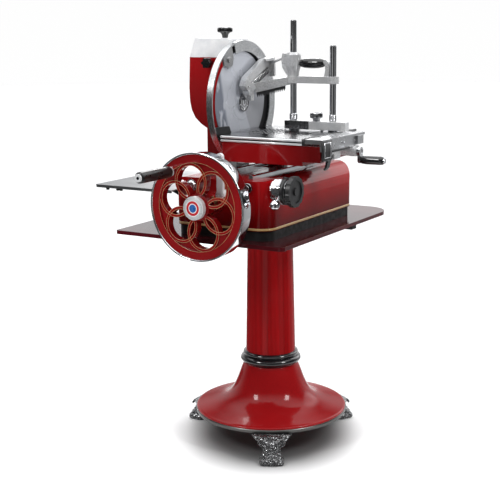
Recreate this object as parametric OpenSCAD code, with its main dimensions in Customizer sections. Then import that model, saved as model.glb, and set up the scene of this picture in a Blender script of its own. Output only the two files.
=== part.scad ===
// Hand-driven flywheel meat slicer on a cast pedestal stand.
// Units mm. +Z up, +X towards the feed crank, -Y towards the flywheel and the operator.
// The origin is on the floor, on the axis of the pedestal column.

/* [Pedestal] */
// Radius of the round pedestal foot
ped_r = 250; // [200:1:320]
// Height of the cast feet below the rim
foot_h = 84; // [50:1:120]
// Radius reached by the toes of the cast feet
toe_r = 316; // [260:1:380]
// Column radius at the bottom
col_r0 = 83; // [50:1:110]
// Column radius at the top
col_r1 = 75; // [50:1:110]
// Height of the column top above the floor
col_top = 706; // [500:1:800]

/* [Shelf] */
// Shelf left edge
shelf_x0 = -335; // [-450:1:-200]
// Shelf right edge
shelf_x1 = 262; // [200:1:400]
// Shelf front edge
shelf_y0 = -388; // [-450:1:-250]
// Shelf rear edge
shelf_y1 = 394; // [250:1:450]
// Shelf thickness
shelf_t = 12; // [6:1:30]

/* [Machine base] */
// Base left side
base_x0 = -143; // [-200:1:-100]
// Base right side
base_x1 = 190; // [150:1:260]
// Base front face
base_y0 = -345; // [-380:1:-300]
// Base rear face
base_y1 = 232; // [150:1:300]
// Base bottom height
base_z0 = 760; // [735:1:790]
// Base top height
base_z1 = 908; // [880:1:940]
// Wall thickness of the base casting
base_w = 8; // [5:0.5:12]

/* [Flywheel] */
// Flywheel outer radius
wheel_r = 162; // [130:1:200]
// Depth of the flywheel rim
wheel_t = 44; // [25:1:60]
// Height of the flywheel axle
wheel_z = 835; // [800:1:870]
// Front plane of the rim
wheel_y = -444; // [-470:1:-420]
// Number of petals in the wheel web
petals = 6; // [4:1:10]
// Radius of the circle that carries the handle
handle_ring = 135; // [110:1:145]
// Direction of the handle, degrees from +X
handle_deg = 132; // [0:1:359]
// Handle length
handle_len = 150; // [90:1:170]

/* [Blade] */
// Blade radius
blade_r = 160; // [120:1:170]
// Height of the blade axle
blade_z = 1117; // [1050:1:1180]
// Blade axle position along the carriage travel
blade_y = -92; // [-130:1:-60]
// Outer radius of the guard ring
ring_r = 192; // [175:1:210]

/* [Carriage and table] */
// Front of the meat table
table_y0 = -262; // [-300:1:-200]
// Rear of the meat table
table_y1 = 92; // [50:1:150]
// Left edge of the meat table
table_x0 = -33; // [-36:1:0]
// Right edge of the meat table
table_x1 = 260; // [220:1:300]
// Height of the meat table surface
table_z = 1029; // [1000:1:1060]
// Half of the carriage stroke
half_stroke = 100; // [60:1:100]

/* [Press] */
// Column radius of the press
post_r = 10.5; // [7:0.5:15]
// Left column position
post_xa = 81; // [60:1:120]
// Right column position
post_xb = 220; // [180:1:250]
// Column position along the carriage travel
post_y = 12; // [0:1:40]
// Top of the left column
post_za = 1369; // [1250:1:1450]
// Top of the right column
post_zb = 1291; // [1240:1:1400]

/* [Hidden] */
$fn = 96;
run = 0.05;
shelf_z1 = 730;
shelf_z0 = shelf_z1 - shelf_t;
neck_z = 250;
collar_z1 = 292;
shaft_r = 11;
shaft_x = 4;
crank_y = 70;
stem_x0 = -4;
cross_y = blade_y;
chain_x = -98;
face_x = -58;
ring_x0 = -57;
ring_x1 = -37;
screw_y = -60;
screw_z = 978;
latch_x = 52;
latch_z = 868;
dial_y = -300;
dial_z = 880;
fence_z0 = 1033;
fence_z1 = 1059;
arm_z0 = 1174;
arm_z1 = 1196;
bar_x = -20;
bar_y = -59;
bar_z = 1176;
bar_len = norm([post_xa - bar_x, post_y - bar_y]);

// ---------- shared shapes ----------

// Cylinder along X from x0 to x1 at (y, z).
module cyl_x(x0, x1, r, y, z) {
    translate([x0, y, z])
        rotate([0, 90, 0])
            cylinder(h = x1 - x0, r = r);
}

// Cylinder along Y from y0 to y1 at (x, z).
module cyl_y(y0, y1, r, x, z) {
    translate([x, y1, z])
        rotate([90, 0, 0])
            cylinder(h = y1 - y0, r = r);
}

// Cylinder along Z from z0 to z1 at (x, y).
module cyl_z(z0, z1, r, x = 0, y = 0) {
    translate([x, y, z0])
        cylinder(h = z1 - z0, r = r);
}

// Box between two corners.
module box(a, b) {
    translate(a)
        cube(b - a);
}

// 2-D rectangle with four corner radii: front left, front right, rear right, rear left.
module round_rect(x0, y0, x1, y1, r) {
    difference() {
        translate([x0, y0])
            square([x1 - x0, y1 - y0]);
        corner_cut(x0, y0, r[0], 0);
        corner_cut(x1, y0, r[1], 90);
        corner_cut(x1, y1, r[2], 180);
        corner_cut(x0, y1, r[3], 270);
    }
}

// The sliver removed from a corner to round it.
module corner_cut(x, y, r, turn) {
    translate([x, y])
        rotate(turn)
            difference() {
                translate([-1, -1])
                    square([r + 1, r + 1]);
                translate([r, r])
                    circle(r);
            }
}

// Upright prism of a rounded rectangle.
module round_slab(x0, y0, x1, y1, r, z0, z1) {
    translate([0, 0, z0])
        linear_extrude(z1 - z0)
            round_rect(x0, y0, x1, y1, r);
}

// Child outline drawn in X-Z, extruded along Y.
module along_y(y0, y1) {
    translate([0, y1, 0])
        rotate([90, 0, 0])
            linear_extrude(y1 - y0)
                children();
}

// Child outline drawn in Y-Z, extruded along X.
module along_x(x0, x1) {
    translate([x0, 0, 0])
        rotate([90, 0, 90])
            linear_extrude(x1 - x0)
                children();
}

// 2-D ring.
module ring2(r1, r0) {
    difference() {
        circle(r1);
        circle(r0);
    }
}

// 2-D wedge between two angles.
module wedge2(a0, a1, r) {
    n = 12;
    polygon(concat([[0, 0]], [for (i = [0 : n]) let (a = a0 + (a1 - a0) * i / n) r * [cos(a), sin(a)]]));
}

// 2-D toothed disc: trapezoid teeth on a plain body.
module gear2(teeth, r_tip, r_root) {
    step = 360 / teeth;
    polygon([for (i = [0 : teeth - 1], k = [0 : 3])
        let (a = step * (i + [0, 0.14, 0.36, 0.5][k]), r = k == 0 || k == 3 ? r_root : r_tip)
        r * [cos(a), sin(a)]]);
}

// 2-D grip outline with rounded lobes.
module lobes2(n, r, lobe) {
    circle(r);
    for (i = [0 : n - 1])
        rotate(i * 360 / n)
            translate([r, 0])
                circle(lobe);
}

// Points of a quarter ellipse about (cx, cz), from angle a0 to a1.
function arc_pts(cx, cz, rx, rz, a0, a1, n = 12) =
    [for (i = [0 : n]) let (a = a0 + (a1 - a0) * i / n) [cx + rx * cos(a), cz + rz * sin(a)]];

// ---------- pedestal ----------

module cast_feet() {
    color("#17181a")
        for (a = [-60, 60, 180])
            rotate(a)
                one_foot();
}

module one_foot() {
    profile = [
        [toe_r, 0], [toe_r + 2, 8], [toe_r - 2, 20], [toe_r - 14, 31], [toe_r - 21, 44],
        [toe_r - 20, 56], [toe_r - 12, 68], [toe_r - 10, 76], [toe_r - 14, foot_h],
        [205, foot_h], [205, foot_h - 10], [238, foot_h - 18], [256, foot_h - 34], [262, 22], [258, 0],
    ];
    along_y(-31, 31)
        polygon(profile);
    foot_tier(foot_h - 22, foot_h, [[222, 46], [262, 80], [284, 76], [302, 44]]);
    foot_tier(foot_h - 38, foot_h - 21.5, [[238, 40], [270, 60], [292, 36]]);
    foot_tier(0, 14, [[256, 34], [276, 42], [306, 38], [317, 20]]);
}

// Flat tier of a foot: half of its plan outline is given, the other half is its mirror image.
module foot_tier(z0, z1, half) {
    n = len(half) - 1;
    translate([0, 0, z0])
        linear_extrude(z1 - z0)
            polygon(concat([for (i = [0 : n]) [half[i][0], -half[i][1]]], [for (i = [0 : n]) half[n - i]]));
}

module rim_band() {
    color("#8d9092")
        rotate_extrude()
            polygon([[240, foot_h], [ped_r, foot_h], [ped_r + 1.5, foot_h + 2],
                [ped_r + 1.5, foot_h + 10], [ped_r, foot_h + 12], [240, foot_h + 12]]);
}

module pedestal_base() {
    z0 = foot_h + 12;
    outer = [
        [ped_r, z0], [ped_r + 1, z0 + 4], [ped_r - 1, z0 + 7], [ped_r - 5, z0 + 9],
        [222, 110.5], [196, 116.5], [176, 122.5], [160, 129.5], [148, 137.5], [138, 147], [130, 157],
        [122, 170], [115.5, 184], [109.5, 199], [104, 214], [99, 228], [93.5, 241], [89, neck_z],
    ];
    inner = [
        [70, neck_z], [70, 240], [83, 240], [88, 228], [94, 213], [100, 198], [107, 183], [114, 169],
        [122, 156], [131, 144], [142, 133], [155, 124], [172, 116], [194, 109], [216, 104], [226, z0 + 1],
        [205, z0 + 1], [205, foot_h], [238, foot_h], [238, z0],
    ];
    color("#8e1216")
        difference() {
            union() {
                rotate_extrude()
                    polygon(concat(outer, inner));
                cyl_z(236, 244, 80);
            }
            cyl_z(230, 250, 8.6);
        }
}

module pedestal_collar() {
    color("#141518")
        rotate_extrude()
            polygon(concat([[66, neck_z], [89, neck_z]],
                arc_pts(88, neck_z + 15, 13, 12, -78, 84, 16),
                [[88, neck_z + 28]],
                arc_pts(85, neck_z + 35, 7, 6, -70, 80, 10),
                [[83, collar_z1], [66, collar_z1]]));
}

module pedestal_column() {
    color("#8e1216")
        rotate_extrude()
            polygon([[col_r0 - 7, collar_z1], [col_r0, collar_z1],
                [col_r1, col_top], [col_r1 - 7, col_top]]);
}

module mount_flange() {
    color("#202225")
        difference() {
            union() {
                cyl_z(col_top, shelf_z0, 96);
                cyl_z(col_top - 10, col_top + 1, col_r1 - 8);
            }
            cyl_z(col_top - 11, shelf_z0 + 1, 8.6);
        }
}

module tie_rod() {
    color("#9a9ea2") {
        cyl_z(206, shelf_z0 - 1, 8);
        translate([0, 0, 226])
            cylinder(h = 10, r = 15, $fn = 6);
        cyl_z(col_top - 12, col_top - 10, 15);
        translate([0, 0, col_top - 22])
            cylinder(h = 10, r = 15, $fn = 6);
    }
}

module stand_shelf() {
    color("#5d1013")
        difference() {
            round_slab(shelf_x0, shelf_y0, shelf_x1, shelf_y1, [8, 16, 90, 60], shelf_z0, shelf_z1);
            // Shallow seat that locates the machine.
            plinth_slab(5.5, shelf_z1 - 1, shelf_z1 + 1);
        }
}

module shelf_block() {
    color("#151618")
        round_slab(212, 96, 250, 132, [4, 4, 4, 4], shelf_z0 - 16, shelf_z0);
}

// ---------- machine base ----------

module machine_plinth() {
    color("#17181a") {
        // Ring let into the shelf, with a pad for a bolt at each corner.
        difference() {
            plinth_slab(6, shelf_z1 - 1, base_z0);
            plinth_slab(24, shelf_z1 - 2, base_z0 + 1);
        }
        for (x = foot_xs(), y = foot_ys())
            cyl_z(shelf_z1 - 1, base_z0, 24, x, y);
    }
}

// Outline of the base, inset by d.
module plinth_slab(d, z0, z1) {
    round_slab(base_x0 + d, base_y0 + d, base_x1 - d, base_y1 - d,
        [40 - d, 50 - d, 40 - d, 40 - d], z0, z1);
}

function foot_xs() = [base_x0 + 34, base_x1 - 44];
function foot_ys() = [base_y0 + 38, base_y1 - 40];

// Cross-section of the base: left shoulder radius rl, right shoulder radius rr, inset by d.
module base_section(rl, rr, d, z0, z1) {
    polygon(concat(
        [[base_x0 + d, z0], [base_x1 - d, z0]],
        arc_pts(base_x1 - rr[0], z1 - rr[1], rr[0] - d, rr[1], 0, 90),
        arc_pts(base_x0 + rl[0], z1 - rl[1], rl[0] - d, rl[1], 90, 180)));
}

module base_casting() {
    left = [46, 28];
    soft = [60, 76];
    tight = [20, 18];
    w = base_w;
    color("#8e1216")
        difference() {
            union() {
                intersection() {
                    union() {
                        along_y(base_y0, -254)
                            base_section(left, tight, 0, base_z0, base_z1);
                        along_y(-254.5, base_y1)
                            base_section(left, soft, 0, base_z0, base_z1);
                    }
                    round_slab(base_x0, base_y0, base_x1, base_y1, [40, 50, 40, 40],
                        base_z0 - 1, base_z1 + 1);
                }
                cyl_y(base_y0 - 14, base_y0 + 2, 27, shaft_x, wheel_z);
                cyl_y(base_y0 - 6, base_y0 + 2, 34, shaft_x, wheel_z);
            }
            difference() {
                intersection() {
                    along_y(base_y0 + w, base_y1 - w)
                        base_section([30, 26], soft, w, base_z0 - 1, base_z1 - w);
                    round_slab(base_x0 + w, base_y0 + w, base_x1 - w, base_y1 - w, [32, 42, 32, 32],
                        base_z0 - 2, base_z1);
                }
                inner_ribs();
            }
            // Opening for the yoke stem and opening for the blade chain.
            box([stem_x0 - 3, crank_y - half_stroke - 16, base_z1 - w - 2],
                [stem_x0 + 27, crank_y + half_stroke + 16, base_z1 + 1]);
            box([chain_x - 15, blade_y - 52, base_z1 - w - 2], [chain_x + 15, blade_y + 52, base_z1 + 1]);
            // Bores.
            cyl_y(base_y0 - 20, base_y0 + w + 12, 17, shaft_x, wheel_z);
            cyl_y(-30, 0, shaft_r + run, shaft_x, wheel_z);
            cyl_x(-130, -50, 10 + run, cross_y, wheel_z);
            cyl_z(779, 820, 10 + run, shaft_x, crank_y);
            cyl_x(base_x1 - 20, base_x1 + 1, 8, dial_y, dial_z);
            cyl_y(base_y0 - 1, base_y0 + w + 1, 8, latch_x, latch_z);
        }
}

// Ribs and bearing webs left standing inside the base.
module inner_ribs() {
    cyl_y(base_y0 + 1, base_y0 + base_w + 10, 28, shaft_x, wheel_z);
    box([base_x0, -22, 804], [base_x1, -8, 862]);
    box([-26, crank_y - 20, 776], [base_x1, crank_y + 20, 804]);
    box([base_x0, cross_y - 18, 766], [-56, cross_y + 18, 780]);
    box([-67, cross_y - 18, 766], [-56, cross_y + 18, 858]);
    cyl_x(base_x0, -118, 20, cross_y, wheel_z);
    for (x = foot_xs(), y = foot_ys())
        box([x - 36, y - 40, base_z0 - 3], [x + 46, y + 42, base_z0 + 12]);
}

module carriage_rails() {
    color("#c9cccf")
        for (x = [-24, 112])
            difference() {
                round_rail(x);
                for (y = [-300, -60, 170])
                    cyl_z(base_z1 + 8, base_z1 + 16, 3.5, x + 7, y);
            }
}

module round_rail(x) {
    along_y(-322, 214)
        polygon([[x, base_z1], [x + 14, base_z1], [x + 14, base_z1 + 11], [x + 11, base_z1 + 14],
            [x + 3, base_z1 + 14], [x, base_z1 + 11]]);
}

module oil_cap() {
    color("#1b1c1e") {
        cyl_y(base_y0 - 5, base_y0, 14, 124, 888);
        cyl_y(base_y0 - 12, base_y0 - 5, 10, 124, 888);
    }
}

module bearing_dome() {
    color("#c9cccf") {
        cyl_y(base_y0 - 7, base_y0, 19, -72, 884);
        translate([-72, base_y0 - 7, 884])
            rotate([90, 0, 0])
                rotate_extrude()
                    polygon(concat([[0, 0]], arc_pts(0, 0, 16, 12, 0, 90)));
    }
}

module wheel_bearing() {
    color("#a07c3c")
        difference() {
            union() {
                cyl_y(base_y0 - 18, base_y0 + base_w + 8, 17, shaft_x, wheel_z);
                cyl_y(base_y0 - 18, base_y0 - 14, 23, shaft_x, wheel_z);
            }
            cyl_y(base_y0 - 30, base_y0 + 40, shaft_r + run, shaft_x, wheel_z);
        }
}

module wheel_latch() {
    color("#d9dcde")
        difference() {
            union() {
                along_y(-388, -378)
                    translate([latch_x, latch_z])
                        union() {
                            translate([-11, 0])
                                square([22, 112]);
                            translate([0, 112])
                                circle(11);
                            circle(15);
                        }
                cyl_y(-379, base_y0 - 0.5, 12, latch_x, latch_z);
                cyl_y(-379, base_y0 + base_w, 8 - run, latch_x, latch_z);
            }
            cyl_y(-390, -385, 5, latch_x, latch_z);
        }
}

module dial_drum() {
    color("#cfd2d4")
        difference() {
            union() {
                cyl_x(base_x1, base_x1 + 8, 34, dial_y, dial_z);
                cyl_x(base_x1 + 8, base_x1 + 44, 40, dial_y, dial_z);
                cyl_x(base_x1 + 43, base_x1 + 47, 36, dial_y, dial_z);
            }
            cyl_x(base_x1 - 1, base_x1 + 60, 8, dial_y, dial_z);
            difference() {
                cyl_x(base_x1 + 21, base_x1 + 31, 45, dial_y, dial_z);
                cyl_x(base_x1 + 20, base_x1 + 32, 35, dial_y, dial_z);
            }
            for (a = [20, 75])
                cyl_x(base_x1 + 42, base_x1 + 48, 4, dial_y - 28 * cos(a), dial_z + 28 * sin(a));
        }
}

module dial_knob() {
    color("#17181a")
        difference() {
            union() {
                cyl_x(base_x1 - 12, base_x1 + 56, 8 - run, dial_y, dial_z);
                cyl_x(base_x1 + 47.5, base_x1 + 56, 22, dial_y, dial_z);
                along_x(base_x1 + 56, base_x1 + 70)
                    translate([dial_y, dial_z])
                        difference() {
                            circle(46);
                            for (i = [0 : 11])
                                rotate(i * 30)
                                    translate([49, 0])
                                        circle(6);
                        }
            }
            cyl_x(base_x1 + 66, base_x1 + 71, 34, dial_y, dial_z);
        }
    color("#17181a")
        cyl_x(base_x1 + 64, base_x1 + 71, 12, dial_y, dial_z);
}

module lock_lever() {
    x = base_x1 + 26;
    color("#d9dcde") {
        difference() {
            cyl_x(x - 4.5, x + 4.5, 41, dial_y, dial_z);
            cyl_x(x - 5, x + 5, 35 + run, dial_y, dial_z);
        }
        rotate_about_x(-146, dial_y, dial_z) {
            cyl_y(dial_y + 38, dial_y + 52, 4, x, dial_z);
            translate([x, dial_y + 62, dial_z])
                sphere(r = 15);
        }
    }
}

// ---------- drive ----------

module wheel_shaft() {
    color("#9a9ea2") {
        cyl_y(-456, crank_y - 18, shaft_r, shaft_x, wheel_z);
        for (y = [cross_y - 47, crank_y - 37])
            translate([shaft_x, y + 16, wheel_z])
                rotate([90, 0, 0])
                    linear_extrude(16)
                        gear2(16, 33, 27);
        cyl_y(base_y0 + 17, base_y0 + 23, 16, shaft_x, wheel_z);
    }
}

module cross_shaft() {
    color("#9a9ea2") {
        cyl_x(-128, -38, 10, cross_y, wheel_z);
        cyl_x(-46, -38, 44, cross_y, wheel_z);
        for (i = [0 : 19])
            rotate_about_x(i * 18, cross_y, wheel_z)
                box([-38.5, cross_y + 35, wheel_z - 2.5], [-30.5, cross_y + 43, wheel_z + 2.5]);
        along_x(chain_x - 3, chain_x + 3)
            translate([cross_y, wheel_z])
                gear2(24, 40, 34);
        cyl_x(chain_x - 9, chain_x + 9, 18, cross_y, wheel_z);
    }
}

module rotate_about_x(a, y, z) {
    translate([0, y, z])
        rotate([a, 0, 0])
            translate([0, -y, -z])
                children();
}

module crank_wheel() {
    color("#9a9ea2") {
        cyl_z(782, 881, 10, shaft_x, crank_y);
        cyl_z(804.5, 812, 16, shaft_x, crank_y);
        cyl_z(876, 881, 36, shaft_x, crank_y);
        for (i = [0 : 15])
            translate([shaft_x, crank_y, 0])
                rotate(i * 22.5)
                    box([25, -2.5, 869.5], [33, 2.5, 876.5]);
        translate([shaft_x, crank_y, 880])
            linear_extrude(6)
                difference() {
                    circle(half_stroke + 12);
                    for (i = [0 : 5])
                        rotate(i * 60 + 30)
                            translate([68, 0])
                                circle(22);
                }
        cyl_z(885, 890, 9, shaft_x + half_stroke, crank_y);
    }
}

module drive_chain() {
    // Chain drawn as an endless band of plates around both sprockets.
    w = 7;
    color("#5b5f63")
        along_x(chain_x - w / 2, chain_x + w / 2)
            difference() {
                chain_path(46.5, 28.5);
                chain_path(40.7, 22.7);
            }
}

// Outline wrapped round the lower wheel of radius ra and the upper wheel of radius rb.
module chain_path(ra, rb) {
    d = blade_z - wheel_z;
    s = asin((ra - rb) / d);
    n = 32;
    translate([blade_y, wheel_z])
        polygon(concat(
            [for (i = [0 : n]) let (a = s + (180 - 2 * s) * i / n) [rb * cos(a), d + rb * sin(a)]],
            [for (i = [0 : n]) let (a = 180 - s + (180 + 2 * s) * i / n) [ra * cos(a), ra * sin(a)]]));
}

module blade_shaft() {
    color("#9a9ea2") {
        cyl_x(-150, -50, 12, blade_y, blade_z);
        cyl_x(-53.2, -50, 38, blade_y, blade_z);
        along_x(chain_x - 3, chain_x + 3)
            translate([blade_y, blade_z])
                gear2(12, 22, 16);
        cyl_x(chain_x - 9, chain_x + 9, 15, blade_y, blade_z);
    }
}

module blade_bearing() {
    color("#a07c3c")
        difference() {
            cyl_x(-82, -54, 21, blade_y, blade_z);
            cyl_x(-90, -50, 12 + run, blade_y, blade_z);
        }
}

// ---------- flywheel ----------

module flywheel() {
    r_in = 131;
    ring_c = 78;
    color("#9c1418")
        difference() {
            union() {
                cyl_y(wheel_y + 8, wheel_y + 40, 40, shaft_x, wheel_z);
                cyl_y(wheel_y, wheel_y + 9, 36, shaft_x, wheel_z);
                along_y(wheel_y + 3, wheel_y + wheel_t - 4)
                    translate([shaft_x, wheel_z])
                        ring2(wheel_r - 6, r_in);
                along_y(wheel_y + 10, wheel_y + 26)
                    translate([shaft_x, wheel_z])
                        petal_web(r_in + 1, ring_c, 46);
                along_y(wheel_y + 6, wheel_y + 30)
                    translate([shaft_x, wheel_z])
                        intersection() {
                            petal_rings(ring_c, 46, 55);
                            circle(r_in + 1);
                        }
            }
            cyl_y(wheel_y - 2, wheel_y + 50, shaft_r, shaft_x, wheel_z);
            cyl_y(wheel_y - 1, wheel_y + 50, 7, handle_x(), handle_z());
        }
}

function handle_x() = shaft_x + handle_ring * cos(handle_deg);
function handle_z() = wheel_z + handle_ring * sin(handle_deg);

// Solid web of the wheel with the round openings taken out.
module petal_web(r, rc, r0) {
    difference() {
        circle(r);
        for (i = [0 : petals - 1])
            rotate(i * 360 / petals + 45)
                translate([rc, 0])
                    circle(r0);
    }
}

// Interlocking rings that outline the petals.
module petal_rings(rc, r0, r1) {
    for (i = [0 : petals - 1])
        rotate(i * 360 / petals + 45)
            translate([rc, 0])
                ring2(r1, r0);
}

module wheel_tyre() {
    color("#d4d6d8")
        along_y(wheel_y, wheel_y + wheel_t)
            translate([shaft_x, wheel_z])
                ring2(wheel_r, wheel_r - 6);
}

module hub_badge() {
    color("#e4e5e6") {
        cyl_y(wheel_y - 16, wheel_y - 12, 30, shaft_x, wheel_z);
        difference() {
            cyl_y(wheel_y - 13, wheel_y, 35, shaft_x, wheel_z);
            cyl_y(wheel_y - 12.5, wheel_y + 1, 12, shaft_x, wheel_z);
        }
    }
}

module handle_pin() {
    color("#c9cccf") {
        cyl_y(wheel_y - handle_len - 3, wheel_y + 34, 7, handle_x(), handle_z());
        cyl_y(wheel_y - 3, wheel_y + 3, 15, handle_x(), handle_z());
        cyl_y(wheel_y - handle_len - 6, wheel_y - handle_len - 2, 12, handle_x(), handle_z());
    }
}

module handle_grip() {
    color("#151618")
        difference() {
            translate([handle_x(), wheel_y - 3.5, handle_z()])
                rotate([90, 0, 0])
                    rotate_extrude()
                        polygon(concat([[7 + run, 0], [15, 0], [17, 3], [17, handle_len - 10]],
                            arc_pts(11, handle_len - 8, 6, 6, 15, 90, 6),
                            [[7 + run, handle_len - 2]]));
            cyl_y(wheel_y - handle_len - 8, wheel_y - handle_len - 1, 12.5, handle_x(), handle_z());
        }
}

// ---------- blade head ----------

// Outline of the blade housing seen from the front, inset by d.
function housing_pts(d) = [
    [-58 - d, base_z1 - d], [-58 - d, 1257 + d], [-203 + d, 1257 + d], [-207 + d, 1160],
    [-205 + d, 1118], [-199 + d, 1092], [-186 + d, 1068 + d * 0.5], [-166 + d, 1050 + d * 0.7],
    [-142 + d, 1036 + d * 0.8], [-142 + d, base_z1 - d],
];

module blade_housing() {
    y0 = blade_y - 58;
    y1 = blade_y + 58;
    color("#8e1216")
        difference() {
            intersection() {
                along_y(y0, y1)
                    polygon(housing_pts(0));
                union() {
                    round_slab(-220, y0, -50, y1, [12, 2, 2, 12], 1030, 1270);
                    box([-150, y0, base_z1], [-50, y1, 1031]);
                }
            }
            difference() {
                along_y(y0 + 7, y1 - 7)
                    polygon(housing_pts(7));
                cyl_x(-84, -50, 34, blade_y, blade_z);
                box([-150, y0, blade_z - 16], [-136, y1, blade_z + 16]);
            }
            cyl_x(-90, -50, 21, blade_y, blade_z);
            cyl_x(-151, -130, 12 + run, blade_y, blade_z);
            cyl_y(y0 - 1, y0 + 8, 6, -128, 1240);
        }
}

module housing_cap() {
    y0 = blade_y - 58;
    y1 = blade_y + 58;
    color("#d9dcde")
        difference() {
            intersection() {
                along_y(y0, y1)
                    polygon([[-58, 1257], [-58, 1312], [-62, 1316], [-182, 1316], [-203, 1257]]);
                round_slab(-220, y0, -50, y1, [12, 3, 3, 12], 1250, 1320);
            }
            along_y(y0 + 6, y1 - 6)
                polygon([[-65, 1256], [-65, 1309], [-178, 1309], [-197, 1256]]);
            cyl_z(1300, 1320, 8 + run, -107, blade_y);
        }
}

module guard_ring() {
    color("#c3c6c9")
        translate([0, blade_y, blade_z])
            rotate([90, 0, 90])
                difference() {
                    union() {
                        translate([0, 0, ring_x0])
                            linear_extrude(ring_x1 - ring_x0)
                                ring2(ring_r, ring_r - 5);
                        translate([0, 0, ring_x1 - 5])
                            linear_extrude(5)
                                intersection() {
                                    ring2(ring_r - 1, 158);
                                    wedge2(-62, 108, 260);
                                }
                        translate([0, 0, face_x])
                            linear_extrude(4)
                                intersection() {
                                    ring2(ring_r - 1, 44);
                                    union() {
                                        wedge2(-75, 125, 260);
                                        translate([-58, -200])
                                            square([116, 400]);
                                    }
                                }
                    }
                }
}

module blade() {
    color("#b9bec4")
        translate([-50, blade_y, blade_z])
            rotate([0, 90, 0])
                rotate_extrude()
                    polygon([[13, 0], [104, 0], [112, 1.2], [150, 1.2], [blade_r, 3.6], [blade_r, 4],
                        [148, 4], [144, 3.4], [58, 3.4], [54, 4], [13, 4]]);
}

module blade_hub() {
    color("#cfd2d4")
        difference() {
            union() {
                cyl_x(-50, -40, 13, blade_y, blade_z);
                cyl_x(-46, -40.5, 29, blade_y, blade_z);
                cyl_x(-41, -38, 20, blade_y, blade_z);
            }
            for (a = [90, 210, 330])
                cyl_x(-42, -37, 3.2, blade_y + 24 * cos(a), blade_z + 24 * sin(a));
            cyl_x(-40, -37, 6, blade_y, blade_z);
        }
}

module sharpener_knob() {
    color("#141518") {
        cyl_z(1303, 1334, 8, -107, blade_y);
        cyl_z(1316.5, 1333, 12, -107, blade_y);
        translate([-107, blade_y, 1332])
            linear_extrude(17)
                lobes2(6, 20, 7);
    }
}

module sharpener_lever() {
    color("#141518") {
        cyl_y(blade_y - 82, blade_y - 52, 6 - run, -128, 1240);
        cyl_y(blade_y - 68, blade_y - 58.5, 9, -128, 1240);
        along_y(blade_y - 84, blade_y - 68)
            translate([-128, 1240])
                lobes2(6, 13, 4);
    }
}

module sharpener_head() {
    // Twin stones on a short arm reaching over the top of the blade.
    color("#8f9498") {
        along_x(ring_x1 - 7, ring_x1 - 2)
            translate([blade_y, blade_z])
                intersection() {
                    polygon([[-124, 160], [-72, 180], [-60, 140], [-66, 116], [-92, 108], [-116, 118]]);
                    circle(ring_r - 5);
                }
        cyl_x(ring_x1 - 3, ring_x1 + 1, 9, blade_y - 86, blade_z + 134);
    }
}

module blade_wiper() {
    color("#1b1c1e")
        along_x(ring_x1 - 7, ring_x1 - 1)
            translate([blade_y, blade_z])
                intersection() {
                    polygon([[-190, -101], [-170, -66], [-92, -68], [-74, -101]]);
                    circle(ring_r - 5);
                }
}

// ---------- carriage ----------

module carriage_body() {
    x0 = -26;
    x1 = 256;
    y0 = table_y0 + 4;
    y1 = table_y1 - 6;
    z1 = table_z - 19.5;
    w = 7;
    color("#8e1216")
        difference() {
            union() {
                round_slab(x0, y0, x1, y1, [14, 2, 10, 10], 950, z1);
                box([x1 - 1, y0, 962], [315.5, y0 + 22, z1]);
            }
            difference() {
                box([x0 + w, y0 + w, 940], [x1 - w, y1 - w, z1 - w]);
                // Cross ribs that carry the guide blocks, and the pad under the yoke stem.
                box([x0, -236, 950], [0, -196, z1]);
                box([x0, 38, 950], [0, 82, z1]);
                box([102, 10, 950], [138, 64, z1]);
                box([stem_x0 - 4, crank_y - 14, 950], [stem_x0 + 28, crank_y + 14, z1]);
                box([x1 - 34, screw_y - 26, 950], [x1, screw_y + 26, z1]);
            }
            cyl_x(x1 - 40, x1 + 1, 17, screw_y, screw_z);
            box([x1 + 4, y0 + 6, 955], [310, y0 + 23, z1 - 6]);
        }
}

module guide_blocks() {
    color("#8f9498")
        for (p = [[-28.5, -234, -198], [-28.5, 40, 80], [107.5, 12, 62]])
            along_y(p[1], p[2])
                translate([p[0], 0])
                    difference() {
                        translate([0, base_z1 + 3])
                            square([23, 950 - base_z1 - 3]);
                        translate([4.5 - run, base_z1])
                            square([14 + 2 * run, 14.1]);
                    }
}

module carriage_yoke() {
    x0 = shaft_x - half_stroke - 14;
    x1 = shaft_x + half_stroke + 14;
    color("#9a9ea2")
        difference() {
            union() {
                box([x0, crank_y - 15, 891], [x1, crank_y + 15, 897]);
                box([stem_x0, crank_y - 12, 896], [stem_x0 + 24, crank_y + 12, 950]);
            }
            box([x0 + 5, crank_y - 9.2, 890], [x1 - 5, crank_y + 9.2, 894.5]);
        }
}

module feed_nut() {
    color("#a07c3c")
        difference() {
            cyl_x(222, 256, 17, screw_y, screw_z);
            cyl_x(200, 260, 8 + run, screw_y, screw_z);
        }
}

// ---------- table ----------

module meat_table() {
    z0 = table_z - 19;
    color("#d4d6d8") {
        difference() {
            round_slab(table_x0, table_y0, table_x1, table_y1, [10, 3, 3, 10], z0, table_z);
            // Slots for the fence studs.
            for (x = [112, 196])
                box([x - 4, -150, table_z - 9], [x + 4, 0, table_z + 1]);
        }
        for (i = [0 : 5], j = [0 : 6])
            let (x = 14 + i * 15, y = -150 + j * 20)
                translate([x, y, table_z])
                    cylinder(h = 2.5, r = 3.2, $fn = 4);
    }
}

module table_rail() {
    x0 = table_x1;
    x1 = 316;
    y0 = table_y0;
    color("#c3c6c9")
        difference() {
            union() {
                box([x0, y0, table_z - 19], [x0 + 7, table_y1, table_z - 7]);
                box([x0 + 7, y0, table_z - 13], [x1 + 4, 10, table_z]);
                box([x1, y0, 994], [x1 + 5, 8, table_z]);
                box([x1 - 24, -32, table_z - 5], [x1 + 4, 30, table_z]);
                box([x1 + 4, -262, 1021], [x1 + 8, 26, table_z]);
                box([x1 + 1, -32, 996], [x1 + 12, 8, 1022]);
            }
            box([x1 - 2, -240, 998], [x1 + 9, -194, 1020]);
            box([x1 + 4, -46, 996], [x1 + 9, -32, 1020]);
        }
}

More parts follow.
